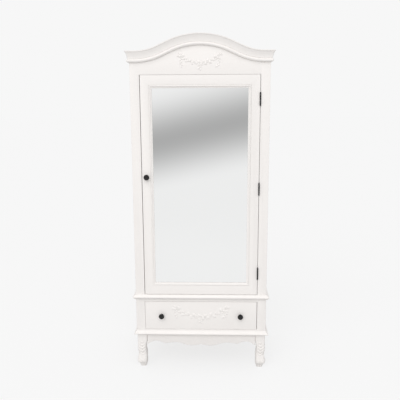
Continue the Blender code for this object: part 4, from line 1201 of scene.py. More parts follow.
# %% Turned knobs
def turned_shape(profile, steps=64):
    """A bmesh turned round local Z from (radius, height) pairs that start and end on the axis."""
    shape = bmesh.new()
    rings = []
    for radius, height in profile:
        if radius == 0.0:
            rings.append([shape.verts.new((0.0, 0.0, height))] * steps)
        else:
            rings.append([shape.verts.new((radius * math.cos(2 * math.pi * step / steps),
                                           radius * math.sin(2 * math.pi * step / steps), height))
                          for step in range(steps)])
    for upper, lower in zip(rings, rings[1:]):
        for step in range(steps):
            corners = (upper[step - 1], upper[step], lower[step], lower[step - 1])
            face = list(dict.fromkeys(corners))
            if len(face) > 2:
                shape.faces.new(face)
    return shape


KNOB_HEAD_RADIUS, KNOB_DOME_HEIGHT, KNOB_DOME_FULLNESS = 0.0165, 0.0080, 0.9
# share of the head radius, and drop under the rim
UNDER_HEAD = ((0.985, 0.0018), (0.90, 0.0042), (0.62, 0.0068))
# radius of the neck, and drop under the rim; then radius and height over the face
KNOB_THROAT = (0.0070, 0.0088)
KNOB_FOOT = ((0.0062, 0.0088), (0.0068, 0.0062), (0.0086, 0.0048), (0.0094, 0.0034), (0.0094, FIT_GAP))
KNOB_SMOOTH_DEGREES = 50


def knob_profile(reach):
    """Domed head, hollow neck and a ringed foot."""
    rim = reach - KNOB_DOME_HEIGHT
    dome = [(KNOB_HEAD_RADIUS * math.sin(math.radians(turn)) ** KNOB_DOME_FULLNESS if turn else 0.0,
             rim + KNOB_DOME_HEIGHT * math.cos(math.radians(turn))) for turn in range(0, 91, 9)]
    under = [(KNOB_HEAD_RADIUS * share, rim - drop) for share, drop in UNDER_HEAD]
    throat = [(KNOB_THROAT[0], rim - KNOB_THROAT[1])]
    return dome + under + throat + list(KNOB_FOOT) + [(0.0, FIT_GAP)]


TO_FRONT = Matrix.Rotation(math.pi / 2, 4, "X")
for node, body in (("door_knob", "door"), ("drawer_knob_left", "drawer"), ("drawer_knob_right", "drawer")):
    low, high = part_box(node)
    shape = turned_shape(knob_profile(FACE_Y - low.y))
    spot = Vector(((low.x + high.x) / 2, FACE_Y, (low.z + high.z) / 2))
    bmesh.ops.transform(shape, matrix=Matrix.Translation(spot) @ TO_FRONT, verts=shape.verts)
    place_piece(node + "_turned", tidy_mesh(shape, node, KNOB_SMOOTH_DEGREES), BLACK, body, "black_metal",
                node)

# %% [markdown]
# ## Carved garlands
#
# Two carved garlands are glued to the wardrobe: one on the frieze under the arch, one on the drawer front.
# Each has a swag of leaves between two rosettes, flowers where it hangs lowest, and short tails. They are
# built from two shapes only. A leaf is drawn one unit long, so that a tree can scale it, and a flower is six
# wider leaves round a button. A rim and a flat back close each leaf, so that it is no thin sheet.


# %% A leaf and a flower
LEAF_STEPS = 7
LEAF_RIBS = (-1.0, -0.55, 0.0, 0.55, 1.0)
LEAF_BREADTH, LEAF_BREADTH_BIAS = 0.38, 0.8
LEAF_CROWN, LEAF_CROWN_BIAS = 0.17, 1.05
LEAF_VEIN_HEIGHT = 0.05
LEAF_BACK = -0.06
PETAL_SCALE = (0.9, 1.25, 1.1)
BUTTON = ((0.0, 0.27), (0.14, 0.25), (0.24, 0.18), (0.30, 0.08), (0.32, LEAF_BACK), (0.0, LEAF_BACK))
CARVING_SMOOTH_DEGREES = 50


def leaf_shape():
    """A small pointed leaf along X, cupped, with a raised vein."""
    shape = bmesh.new()
    rows = []
    for step in range(LEAF_STEPS + 1):
        share = step / LEAF_STEPS
        half = LEAF_BREADTH * math.sin(math.pi * share ** LEAF_BREADTH_BIAS)
        row = []
        for rib in LEAF_RIBS:
            crown = LEAF_CROWN * math.sin(math.pi * min(share * LEAF_CROWN_BIAS, 1.0)) * (1 - rib * rib)
            vein = LEAF_VEIN_HEIGHT * (rib == 0.0)
            row.append(shape.verts.new((share, rib * half, crown + vein * (1 - share))))
        rows.append(row)
    for near, far in zip(rows, rows[1:]):
        for index in range(len(LEAF_RIBS) - 1):
            shape.faces.new((near[index], far[index], far[index + 1], near[index + 1]))
    rim = ([row[0] for row in rows] + rows[-1][1:-1]
           + [row[-1] for row in reversed(rows)] + rows[0][-2:0:-1])
    back = [shape.verts.new((vert.co.x, vert.co.y, LEAF_BACK)) for vert in rim]
    for index in range(len(rim)):
        shape.faces.new((rim[index], rim[index - 1], back[index - 1], back[index]))
    shape.faces.new(back[::-1])
    return shape


def add_shape(whole, shape):
    """Copy one bmesh into another, and free it."""
    part = bpy.data.meshes.new("part")
    shape.to_mesh(part)
    shape.free()
    whole.from_mesh(part)
    bpy.data.meshes.remove(part)


def flower_shape(petals=6):
    """A round flower of cupped petals with a domed middle, facing local Z."""
    whole = bmesh.new()
    for petal in range(petals):
        turn = Matrix.Rotation(2 * math.pi * petal / petals, 4, "Z")
        one = leaf_shape()
        bmesh.ops.scale(one, vec=PETAL_SCALE, verts=one.verts)
        bmesh.ops.transform(one, matrix=turn, verts=one.verts)
        add_shape(whole, one)
    add_shape(whole, turned_shape(BUTTON, 12))
    return whole


def helper_object(name, shape):
    """An object for a tree to copy, removed once it has been used."""
    mesh = tidy_mesh(shape, name, CARVING_SMOOTH_DEGREES)
    helper = bpy.data.objects.new(name, mesh)
    bpy.context.scene.collection.objects.link(helper)
    return helper


for draw in (leaf_shape, flower_shape):
    drawn = draw()
    print(draw.__name__, len(drawn.faces), "faces")
    drawn.free()


# %% [markdown]
# ## The garland tree
#
# Leaves that follow a line are a job for Geometry Nodes. The tree spaces points along a path, turns a leaf to
# the path's direction at each, and leans every second one the other way. A fixed seed varies their size and
# lean a little, because no carver cuts two leaves alike.



# %% The garland tree
LEAF_VARIES = (0.75, 1.2)


def garland_tree():
    """Leaves set along a path, leaning left and right of it."""
    tree, given, out = new_group(
        "leaves_along_path", "GeometryNodeTree",
        [("Geometry", "NodeSocketGeometry", None), ("Leaf", "NodeSocketObject", None),
         ("Leaf Count", "NodeSocketInt", 12), ("Leaf Size", "NodeSocketFloat", 0.018),
         ("Lean", "NodeSocketFloat", 0.6), ("Seed", "NodeSocketInt", 1),
         ("Material", "NodeSocketMaterial", None)],
        [("Geometry", "NodeSocketGeometry")])
    path = add_node(tree, "GeometryNodeMeshToCurve", {0: given["Geometry"]})
    spots = add_node(tree, "GeometryNodeResampleCurve",
                     {"Curve": path.outputs[0], "Count": given["Leaf Count"]})
    along = add_node(tree, "GeometryNodeInputTangent").outputs[0]
    axes = add_node(tree, "FunctionNodeAxesToRotation", {0: along, 1: (0.0, 0.0, 1.0)},
                    primary_axis="X", secondary_axis="Z")
    index = add_node(tree, "GeometryNodeInputIndex").outputs[0]
    side = maths(tree, "SUBTRACT", maths(tree, "MULTIPLY", maths(tree, "MODULO", index, 2.0), 2.0), 1.0)
    vary = add_node(tree, "FunctionNodeRandomValue",
                    {2: LEAF_VARIES[0], 3: LEAF_VARIES[1], "Seed": given["Seed"]},
                    data_type="FLOAT")
    lean = maths(tree, "MULTIPLY", maths(tree, "MULTIPLY", side, given["Lean"]), vary.outputs[1])
    turn = add_node(tree, "ShaderNodeCombineXYZ", {2: lean})
    leaning = add_node(tree, "FunctionNodeRotateRotation",
                       {0: axes.outputs[0], 1: turn.outputs[0]}, rotation_space="LOCAL")
    size = maths(tree, "MULTIPLY", given["Leaf Size"], vary.outputs[1])
    leaf = add_node(tree, "GeometryNodeObjectInfo", {"Object": given["Leaf"], "As Instance": True})
    copies = add_node(tree, "GeometryNodeInstanceOnPoints",
                      {"Points": spots.outputs[0], "Instance": leaf.outputs["Geometry"],
                       "Rotation": leaning.outputs[0], "Scale": size})
    real = add_node(tree, "GeometryNodeRealizeInstances", {0: copies.outputs[0]})
    painted = add_node(tree, "GeometryNodeSetMaterial",
                       {"Geometry": real.outputs[0], "Material": given["Material"]})
    tree.links.new(painted.outputs[0], out["Geometry"])
    return tree


GARLAND = garland_tree()
print("tree:", GARLAND.name)


# %% [markdown]
# ## The lines of a garland
#
# A garland is set out with a few lines: a parabola for the swag, split at its middle so that the leaves point
# outwards on both sides, a short tail under each rosette, and a curl of ribbon over it.


# %% Lines of a garland
SWAG_STEPS, TAIL_STEPS, RIBBON_STEPS = 24, 8, 6
RIBBON_START, RIBBON_LENGTH = 0.004, 0.020
RIBBON_LIFT, RIBBON_RISE, RIBBON_TURN = 0.004, 0.010, 2.6


def swag_line(half_span, sag):
    """A hanging line between two ends at height zero."""
    return [(half_span * share, -sag * (1 - share * share))
            for share in [step / SWAG_STEPS * 2 - 1 for step in range(SWAG_STEPS + 1)]]


def from_middle(points):
    """The right half of a swag, and its mirror image: each runs from the middle outwards."""
    right = [point for point in points if point[0] >= 0]
    return right, [(-across, up) for across, up in right]


def tail_line(across, length, sway):
    """A short tail hanging from a rosette, swinging out a little."""
    return [(across + sway * math.sin(math.pi * step / TAIL_STEPS), -length * step / TAIL_STEPS)
            for step in range(TAIL_STEPS + 1)]


def ribbon_line(half_span, sign):
    """A short curl of ribbon over a rosette."""
    return [(sign * (half_span - RIBBON_START + RIBBON_LENGTH * step / RIBBON_STEPS),
             RIBBON_LIFT + RIBBON_RISE * math.sin(step / RIBBON_STEPS * RIBBON_TURN))
            for step in range(RIBBON_STEPS + 1)]


print("points on a swag:", len(swag_line(1.0, 0.5)))


# %% [markdown]
# ## Parts of a garland
#
# Three things go on the lines: leaves from the tree, round flowers laid flat, and a stem that carries the
# leaves. The stem is a flattened cord, because a carver leaves little wood over the board.


# %% Leaves, flowers and stem
FLOWER_FLATNESS = 0.75
STEM_ROUND, STEM_FLATNESS = 8, 0.45
STEM_SMOOTH_DEGREES = 60


def add_leaves(whole, line, leaf_size, run, shift=0):
    """Grow a run of leaves along a line and add them to the garland's bmesh."""
    count, size_share, lean, seed = run
    leaf = helper_object("leaf", leaf_shape())
    base = line_object("leaf_line", line)
    mesh = grow(base, GARLAND, {"Leaf": leaf, "Leaf Count": count, "Leaf Size": leaf_size * size_share,
                                "Lean": lean, "Seed": seed + shift, "Material": PAINT_CARVED}, (leaf,))
    whole.from_mesh(mesh)
    bpy.data.meshes.remove(mesh)


def add_flower(whole, across, up, radius):
    """One flower flat on the board."""
    flower = flower_shape()
    flat = Matrix.Diagonal((radius, radius, radius * FLOWER_FLATNESS, 1.0))
    bmesh.ops.transform(flower, matrix=Matrix.Translation((across, up, 0.0)) @ flat, verts=flower.verts)
    add_shape(whole, flower)


def add_stem(whole, line, thick, thin):
    """The stem that carries the leaves: a flattened cord, thickest where the line starts."""
    rings = []
    for index, (across, up) in enumerate(line):
        near, far = line[max(index - 1, 0)], line[min(index + 1, len(line) - 1)]
        heading = math.atan2(far[1] - near[1], far[0] - near[0])
        radius = thick + (thin - thick) * index / (len(line) - 1)
        turns = [2 * math.pi * step / STEM_ROUND for step in range(STEM_ROUND)]
        rings.append([(across - math.sin(heading) * radius * math.cos(turn),
                       up + math.cos(heading) * radius * math.cos(turn),
                       radius * STEM_FLATNESS * math.sin(turn)) for turn in turns])
    part = tidy_mesh(loft(rings), "stem", STEM_SMOOTH_DEGREES)
    whole.from_mesh(part)
    bpy.data.meshes.remove(part)


print("garland helpers: add_leaves, add_flower, add_stem")


# %% [markdown]
# ## Carving the garlands
#
# A garland is drawn flat and then stood up against the face. Both are the same design, so one function makes
# them: the frieze gets a small one, and the drawer a wider one with larger leaves. Each run of leaves has its
# own count, size, lean and seed. At the end the depth is scaled to the room that the frame gives a carving.


# %% Carve the garlands
GARLAND_DEPTH = 0.62
BOARD_OVERLAP = 0.0001
# each run of leaves: count, share of the full leaf size, lean in radians, seed
UPPER_LEAVES = (10, 1.0, 0.65, 3)
LOWER_LEAVES = (6, 0.8, -0.7, 9)
TAIL_LEAVES = (7, 0.8, 0.6, 20)
RIBBON_LEAVES = (4, 0.8, 0.3, 40)
DROP_LEAVES = (4, 0.8, 0.7, 60)
LOWER_LINE_DROP = 0.25
SWAG_STEM, TAIL_STEM = (0.30, 0.16), (0.20, 0.10)
TAIL_SWAY = 0.006
SIDE_FLOWER, SIDE_FLOWER_ACROSS, SIDE_FLOWER_LIFT = 0.85, 1.75, 0.002
MIDDLE_FLOWER, MIDDLE_FLOWER_DROP = 1.15, 0.001
DROP_START, DROP_LENGTH, DROP_STEPS = 0.6, 0.45, 4


def carved_garland(name, node, body, half_span, end_z, sag, leaf, flower, tail):
    """A whole garland, drawn flat and stood up against the face."""
    whole = bmesh.new()
    for number, line in enumerate(from_middle(swag_line(half_span, sag))):
        add_stem(whole, line, *(flower * share for share in SWAG_STEM))
        add_leaves(whole, line, leaf, UPPER_LEAVES, number)
        lower_line = [(across, up - leaf * LOWER_LINE_DROP) for across, up in line[:-2]]
        add_leaves(whole, lower_line, leaf, LOWER_LEAVES, number)
    for sign in (-1, 1):
        hanging = tail_line(sign * half_span, tail, sign * TAIL_SWAY)
        add_stem(whole, hanging, *(flower * share for share in TAIL_STEM))
        add_leaves(whole, hanging, leaf, TAIL_LEAVES, sign)
        add_leaves(whole, ribbon_line(half_span, sign), leaf, RIBBON_LEAVES, sign)
        add_flower(whole, sign * half_span, 0.0, flower)
        add_flower(whole, sign * flower * SIDE_FLOWER_ACROSS, -sag + SIDE_FLOWER_LIFT, flower * SIDE_FLOWER)
    add_flower(whole, 0.0, -sag - MIDDLE_FLOWER_DROP, flower * MIDDLE_FLOWER)
    drop = [(0.0, -sag - flower * DROP_START - tail * DROP_LENGTH * step / DROP_STEPS)
            for step in range(DROP_STEPS + 1)]
    add_leaves(whole, drop, leaf, DROP_LEAVES)
    top = max(vert.co.z for vert in whole.verts)
    room = (FACE_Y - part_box(node)[0].y) * GARLAND_DEPTH
    bmesh.ops.scale(whole, vec=(1.0, 1.0, room / top), verts=whole.verts)
    stand = Matrix.Translation((0.0, FACE_Y - BOARD_OVERLAP, end_z)) @ TO_FRONT
    bmesh.ops.transform(whole, matrix=stand, verts=whole.verts)
    mesh = bpy.data.meshes.new(name)
    whole.to_mesh(mesh)
    whole.free()
    mesh.shade_smooth()
    mesh.set_sharp_from_angle(angle=math.radians(CARVING_SMOOTH_DEGREES))
    place_piece(name, mesh, PAINT_CARVED, body, "white_paint", node)


FRIEZE_GARLAND_DROP, DRAWER_GARLAND_LIFT = 0.0589, 0.042
carved_garland("frieze_garland", "frieze_carving", "carcass", half_span=0.100,
               end_z=CREST_Z - FRIEZE_GARLAND_DROP, sag=0.036, leaf=0.0195, flower=0.0125, tail=0.050)
carved_garland("drawer_garland", "drawer_carving", "drawer", half_span=0.145,
               end_z=DRAWER_MIDDLE_Z + DRAWER_GARLAND_LIFT, sag=0.052, leaf=0.0260, flower=0.0155, tail=0.045)


# %% [markdown]
# ## Rail and sockets
#
# Inside, a steel rail rests in two turned sockets. All three are round, so the function that turned the
# knobs turns them too, laid on their side. A socket is drawn as one closed profile: the cup, its rounded lip
# and the flange against the wardrobe's side.


# %% Hanging rail and sockets
TO_SIDE = {-1: Matrix.Rotation(math.pi / 2, 4, "Y"), 1: Matrix.Rotation(-math.pi / 2, 4, "Y")}
TUBE_ROUND = 48
TUBE_CHAMFER = 0.001
SOCKET_FLOOR, SOCKET_PLAY = 0.0027, 0.0004
LIP_CHAMFER, CUP_WALL = 0.0006, 0.0036
FLANGE_THICKNESS, FLANGE_CHAMFER = 0.0030, 0.0012
CUP_FILLET_HEIGHT, CUP_FILLET_REACH = 0.0042, 0.0050
rail_low, rail_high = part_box("hanging_rail")
RAIL_Y, RAIL_Z = (rail_low.y + rail_high.y) / 2, (rail_low.z + rail_high.z) / 2
RAIL_RADIUS = (rail_high.z - rail_low.z) / 2


def place_turned(name, node, profile, across, sign):
    """Turn a profile, lay it along the rail's axis and show it."""
    shape = turned_shape(profile, TUBE_ROUND)
    lay = Matrix.Translation((across, RAIL_Y, RAIL_Z)) @ TO_SIDE[sign]
    bmesh.ops.transform(shape, matrix=lay, verts=shape.verts)
    place_piece(name, tidy_mesh(shape, node), STEEL, "carcass", "chrome", node)


def socket_profile(depth, flange):
    """The cup, its lip, a small fillet and the flange."""
    bore = RAIL_RADIUS + SOCKET_PLAY
    cup = [(0.0, SOCKET_FLOOR), (bore, SOCKET_FLOOR), (bore, depth - LIP_CHAMFER)]
    lip = [(bore + LIP_CHAMFER, depth), (bore + CUP_WALL - LIP_CHAMFER, depth),
           (bore + CUP_WALL, depth - LIP_CHAMFER)]
    foot = [(bore + CUP_WALL, CUP_FILLET_HEIGHT), (bore + CUP_FILLET_REACH, FLANGE_THICKNESS),
            (flange - FLANGE_CHAMFER, FLANGE_THICKNESS), (flange, FLANGE_THICKNESS - FLANGE_CHAMFER)]
    return cup + lip + foot + [(flange, 0.0), (0.0, 0.0)]


tube = [(0.0, rail_high.x), (RAIL_RADIUS - TUBE_CHAMFER, rail_high.x),
        (RAIL_RADIUS, rail_high.x - TUBE_CHAMFER), (RAIL_RADIUS, rail_low.x + TUBE_CHAMFER),
        (RAIL_RADIUS - TUBE_CHAMFER, rail_low.x), (0.0, rail_low.x)]
place_turned("hanging_rail_tube", "hanging_rail", tube, 0.0, -1)
for side, sign in SIDES:
    low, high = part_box("rail_socket_" + side)
    profile = socket_profile(high.x - low.x, (high.z - low.z) / 2)
    place_turned("rail_socket_" + side + "_turned", "rail_socket_" + side, profile,
                 high.x if sign > 0 else low.x, sign)


# %% [markdown]
# ## Screws
#
# Screws repeat, so one tree sets heads on a row of points. A head is countersunk, with a cross cut into it,
# and is drawn once at a radius of one. The tree scales it, aims it along a direction, and gives every slot
# its own angle from a fixed seed, because screws never stop all turned alike.


# %% A screw head
CROSS_HALF_WIDTH, CROSS_REACH, CROSS_DEPTH = 0.16, 0.62, -0.30
HEAD_CROWN, HEAD_RIM_DEPTH = 0.08, -0.10
HEAD_TAPER, HEAD_BACK_DEPTH = 0.9, 0.1


def screw_head(radius=1.0):
    """A countersunk head facing local Z, with a cross cut into it."""
    quarter = [(CROSS_HALF_WIDTH, CROSS_REACH), (CROSS_HALF_WIDTH, CROSS_HALF_WIDTH),
               (CROSS_REACH, CROSS_HALF_WIDTH)]
    cross = []
    for _ in range(4):
        cross += quarter
        quarter = [(y, -x) for x, y in quarter]
    angles = [math.atan2(y, x) for x, y in cross]
    rim = [(radius * math.cos(angle), radius * math.sin(angle)) for angle in angles]
    back = [(x * HEAD_TAPER, y * HEAD_TAPER) for x, y in rim]
    levels = ((cross, CROSS_DEPTH), (cross, HEAD_CROWN), (rim, 0.0), (rim, HEAD_RIM_DEPTH),
              (back, CROSS_DEPTH - HEAD_BACK_DEPTH))
    return loft([[(x, y, height) for x, y in points] for points, height in levels])


drawn = screw_head()
print("screw head:", len(drawn.faces), "faces")
drawn.free()


# %% [markdown]
# The tree itself is short: a point for each mesh vertex, a rotation that aims the head and spins it, and a
# copy on each point, made real at the end. The points decide where the screws go, so the same tree serves
# sockets, hinges, back and catch.


# %% The screw tree
SCREW_SMOOTH_DEGREES = 30



def screw_tree():
    """A screw head on every point, each slot at its own angle."""
    tree, given, out = new_group(
        "screws_on_points", "GeometryNodeTree",
        [("Geometry", "NodeSocketGeometry", None), ("Head", "NodeSocketObject", None),
         ("Head Radius", "NodeSocketFloat", 0.003), ("Facing", "NodeSocketVector", (0.0, 0.0, 1.0)),
         ("Seed", "NodeSocketInt", 1), ("Material", "NodeSocketMaterial", None)],
        [("Geometry", "NodeSocketGeometry")])
    spots = add_node(tree, "GeometryNodeMeshToPoints", {0: given["Geometry"]})
    aim = add_node(tree, "FunctionNodeAlignRotationToVector", {"Vector": given["Facing"]}, axis="Z")
    slot = add_node(tree, "FunctionNodeRandomValue", {2: 0.0, 3: math.pi, "Seed": given["Seed"]},
                    data_type="FLOAT")
    spin = add_node(tree, "ShaderNodeCombineXYZ", {2: slot.outputs[1]})
    turned = add_node(tree, "FunctionNodeRotateRotation", {0: aim.outputs[0], 1: spin.outputs[0]},
                      rotation_space="LOCAL")
    head = add_node(tree, "GeometryNodeObjectInfo", {"Object": given["Head"], "As Instance": True})
    copies = add_node(tree, "GeometryNodeInstanceOnPoints",
                      {"Points": spots.outputs[0], "Instance": head.outputs["Geometry"],
                       "Rotation": turned.outputs[0], "Scale": given["Head Radius"]})
    real = add_node(tree, "GeometryNodeRealizeInstances", {0: copies.outputs[0]})
    painted = add_node(tree, "GeometryNodeSetMaterial",
                       {"Geometry": real.outputs[0], "Material": given["Material"]})
    tree.links.new(painted.outputs[0], out["Geometry"])
    return tree


SCREWS = screw_tree()
print("tree:", SCREWS.name)

def screws(name, points, facing, radius, material, body, slot, seed):
    """Screw heads on points of one body, as one piece."""
    head = helper_object("screw_head", screw_head())
    base = line_object(name + "_points", [tuple(point) for point in points])
    mesh = grow(base, SCREWS, {"Head": head, "Head Radius": radius, "Facing": facing, "Seed": seed,
                               "Material": material}, (head,))
    mesh.shade_smooth()
    mesh.set_sharp_from_angle(angle=math.radians(SCREW_SMOOTH_DEGREES))
    return place_piece(name, mesh, material, body, slot)


# %% [markdown]
# ## Screws in the sockets and hinges
#
# Each socket is held by three screws round its cup, and each hinge leaf by three in a row, set flush with its
# face. Their places come from the boxes of the pieces they hold, so they stay put if a hinge is moved.


# %% Set the screws in sockets and hinges
SMALL_SCREW_RADIUS = 0.0026
SOCKET_SCREW_CIRCLE = 0.0215
SOCKET_SCREW_TURNS = (math.pi / 2, math.pi * 7 / 6, math.pi * 11 / 6)
SOCKET_SEED = 5
HINGE_LEVELS = ("top", "middle", "bottom")
HINGE_FACE_OFFSET = 0.00045
HINGE_SCREW_SETBACK, HINGE_SCREW_PITCH = 0.0075, 0.024

for side, sign in SIDES:
    inner_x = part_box("rail_socket_" + side)[1 if sign > 0 else 0].x
    flange_face = sign * (abs(inner_x) - FLANGE_THICKNESS)
    around = [(flange_face, RAIL_Y + SOCKET_SCREW_CIRCLE * math.cos(turn),
               RAIL_Z + SOCKET_SCREW_CIRCLE * math.sin(turn)) for turn in SOCKET_SCREW_TURNS]
    screws("rail_socket_" + side + "_screws", around, (-sign, 0.0, 0.0), SMALL_SCREW_RADIUS, STEEL, "carcass",
           "chrome", SOCKET_SEED + sign)

HINGE_MIDDLE_X = (DOOR_RIGHT + OPENING) / 2
for owner, body, facing, seed in (("door", "door", 1.0, 31), ("frame", "carcass", -1.0, 32)):
    points = []
    for level in HINGE_LEVELS:
        low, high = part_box(owner + "_hinge_leaf_" + level)
        points += [(HINGE_MIDDLE_X - facing * HINGE_FACE_OFFSET, high.y - HINGE_SCREW_SETBACK,
                    (low.z + high.z) / 2 + step * HINGE_SCREW_PITCH) for step in (-1, 0, 1)]
    screws(owner + "_hinge_screws", points, (facing, 0.0, 0.0), SMALL_SCREW_RADIUS, BLACK, body,
           "black_metal", seed)


# %% [markdown]
# ## Screws round the back
#
# The back is a thin board, held by a screw about every hand's breadth along its edges. The count comes from
# the board's own size, so that the row always ends in both corners.


# %% Set the screws round the back
BACK_SCREW_INSET, BACK_SCREW_PITCH = 0.008, 0.14
BACK_SCREW_RADIUS, BACK_SCREW_SINK = 0.0032, 0.0004
back_low, back_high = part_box("back_panel")


def back_row(start, end):
    """Evenly spaced places from one end to the other, both inset, at about the pitch."""
    count = round((end - start) / BACK_SCREW_PITCH)
    return [start + BACK_SCREW_INSET + (end - start - 2 * BACK_SCREW_INSET) * step / count
            for step in range(count + 1)]


back_spots = []
for edge_z in (back_low.z + BACK_SCREW_INSET, back_high.z - BACK_SCREW_INSET):
    back_spots += [(across, edge_z) for across in back_row(back_low.x, back_high.x)]
for height in back_row(back_low.z, back_high.z)[1:-1]:
    back_spots += [(back_low.x + BACK_SCREW_INSET, height), (back_high.x - BACK_SCREW_INSET, height)]
screws("back_panel_screws", [(x, back_high.y - BACK_SCREW_SINK, z) for x, z in back_spots], (0.0, 1.0, 0.0),
       BACK_SCREW_RADIUS, STEEL, "carcass", "chrome", 11)
print("screws round the back:", len(back_spots))


# %% [markdown]
# ## Catch
#
# A magnetic catch is a moulded case with two steel poles just proud of its mouth, held by two screws through
# its ears. The plate on the door is pressed steel with one screw in its middle.


# %% Magnetic catch and its plate
EAR_LENGTH, EAR_DEPTH, EAR_INSET = 0.0085, 0.0030, 0.002
SHORT_EAR_SHARE = 0.4
MOUTH_DEPTH = 0.0010
CASE_ROUND_OVER, EAR_ROUND_OVER, POLE_ROUND_OVER, STRIKE_ROUND_OVER = 0.0012, 0.0008, 0.0003, 0.0005
POLE_SHARES = (0.30, 0.70)
POLE_INSET_LEFT, POLE_INSET_RIGHT, POLE_DEPTH, POLE_HALF_THICKNESS = 0.005, 0.002, 0.004, 0.0009
STRIKE_SCREW_RADIUS, STRIKE_SCREW_SINK = 0.0024, 0.0001


def rounded_box(low, high, round_over):
    """A bmesh block with rounded edges."""
    shape = bmesh.new()
    bmesh.ops.create_cube(shape, size=1.0)
    bmesh.ops.scale(shape, vec=high - low, verts=shape.verts)
    bmesh.ops.translate(shape, vec=(high + low) / 2, verts=shape.verts)
    bmesh.ops.bevel(shape, geom=list(shape.edges), offset=round_over, segments=ROUND_OVER_STEPS, profile=0.5,
                    affect="EDGES")
    return shape


def joined(name, shapes):
    """One mesh of several bmeshes."""
    whole = bmesh.new()
    for shape in shapes:
        part = tidy_mesh(shape, name)
        whole.from_mesh(part)
        bpy.data.meshes.remove(part)
    mesh = bpy.data.meshes.new(name)
    whole.to_mesh(mesh)
    whole.free()
    return mesh


catch_low, catch_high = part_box("magnetic_catch")
case_low = Vector((catch_low.x + EAR_LENGTH, catch_low.y + MOUTH_DEPTH, catch_low.z))
case_high = Vector((catch_high.x - EAR_LENGTH * SHORT_EAR_SHARE, catch_high.y, catch_high.z))
ears_low = Vector((catch_low.x, catch_high.y - EAR_DEPTH, catch_low.z + EAR_INSET))
ears_high = Vector((catch_high.x, catch_high.y, catch_high.z - EAR_INSET))
case = [rounded_box(case_low, case_high, CASE_ROUND_OVER), rounded_box(ears_low, ears_high, EAR_ROUND_OVER)]
place_piece("magnetic_catch_case", joined("catch_case", case), PLASTIC, "carcass", "brown_plastic",
            "magnetic_catch")
poles = []
for share in POLE_SHARES:
    middle_z = catch_low.z + (catch_high.z - catch_low.z) * share
    pole_low = Vector((case_low.x + POLE_INSET_LEFT, catch_low.y, middle_z - POLE_HALF_THICKNESS))
    pole_high = Vector((case_high.x - POLE_INSET_RIGHT, catch_low.y + POLE_DEPTH,
                        middle_z + POLE_HALF_THICKNESS))
    poles.append(rounded_box(pole_low, pole_high, POLE_ROUND_OVER))
place_piece("magnetic_catch_poles", joined("catch_poles", poles), STEEL, "carcass", "chrome")
strike_low, strike_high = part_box("catch_strike_plate")
strike = joined("strike", [rounded_box(strike_low, strike_high, STRIKE_ROUND_OVER)])
place_piece("catch_strike_pressed", strike, STEEL, "door", "chrome", "catch_strike_plate")
strike_spot = ((strike_low.x + strike_high.x) / 2, strike_high.y - STRIKE_SCREW_SINK,
               (strike_low.z + strike_high.z) / 2)
screws("catch_strike_screw", [strike_spot], (0.0, 1.0, 0.0), STRIKE_SCREW_RADIUS, STEEL, "door", "chrome", 41)

# %% [markdown]
# ## Stage
#
# A plain pale floor lies under an even, pale sky of studio light. Both look the same white from in front, so
# the floor meets the background without a line. To light the wardrobe, floor and sky each have a second,
# duller tone, which only diffuse light rays see. The Light Path node tells the two kinds of ray apart.

# %% Floor and sky
WHITE = 0.930
FLOOR_SEEN_TONE = 0.16
FLOOR_BOUNCE_TONE = 0.62
SKY_LIGHT = 0.75
FLOOR_RADIUS, FLOOR_CORNERS = 60.0, 96
FLOOR_ROUGHNESS = 0.9
FLOOR_GRAIN_PER_METRE, FLOOR_GRAIN_CHANGE = 0.5, 0.004
floor_mesh = bpy.data.meshes.new("floor")
disc = bmesh.new()
bmesh.ops.create_circle(disc, cap_ends=True, segments=FLOOR_CORNERS, radius=FLOOR_RADIUS)
disc.to_mesh(floor_mesh)
disc.free()
floor = bpy.data.objects.new("floor", floor_mesh)
bpy.context.scene.collection.objects.link(floor)
floor_material, floor_tree, floor_shader = new_material("pale_floor", Roughness=FLOOR_ROUGHNESS,
                                                        Specular_IOR_Level=0.0)
bounced = add_node(floor_tree, "ShaderNodeLightPath").outputs["Is Diffuse Ray"]
floor_place = add_node(floor_tree, "ShaderNodeTexCoord").outputs["Object"]
grain = add_node(floor_tree, "ShaderNodeTexNoise",
                 {"Vector": floor_place, "Scale": FLOOR_GRAIN_PER_METRE, "Detail": 3.0}).outputs[0]
seen = maths(floor_tree, "ADD", maths(floor_tree, "MULTIPLY", grain, FLOOR_GRAIN_CHANGE), FLOOR_SEEN_TONE)
lift = maths(floor_tree, "MULTIPLY", bounced, FLOOR_BOUNCE_TONE - FLOOR_SEEN_TONE)
floor_tree.links.new(maths(floor_tree, "ADD", seen, lift), floor_shader.inputs["Base Color"])
floor_glow = WHITE - FLOOR_SEEN_TONE
floor_shader.inputs["Emission Color"].default_value = (floor_glow, floor_glow, floor_glow, 1.0)
floor_tree.links.new(maths(floor_tree, "SUBTRACT", 1.0, bounced), floor_shader.inputs["Emission Strength"])
floor_mesh.materials.append(floor_material)

world = bpy.data.worlds.new("studio_sky")
bpy.context.scene.world = world
world.use_nodes = True
sky = world.node_tree.nodes["Background"]
sky.inputs["Color"].default_value = (1.0, 1.0, 1.0, 1.0)
lights_up = add_node(world.node_tree, "ShaderNodeLightPath").outputs["Is Diffuse Ray"]
dimmed = maths(world.node_tree, "MULTIPLY", lights_up, SKY_LIGHT - WHITE)
strength = maths(world.node_tree, "ADD", dimmed, WHITE)
world.node_tree.links.new(strength, sky.inputs["Strength"])
bpy.context.scene.view_settings.view_transform = "Standard"
print("floor and sky seen at", WHITE, "sky lights at", SKY_LIGHT)


# %% [markdown]
# ## Lamps and card
#
# A very wide, weak sun washes the front evenly, and one large soft lamp in front and above models the
# mouldings. A mirror shows what stands before it, which here is an empty studio. So a soft grey card stands
# in front of the wardrobe, seen only in reflections, to give the glass something to show.


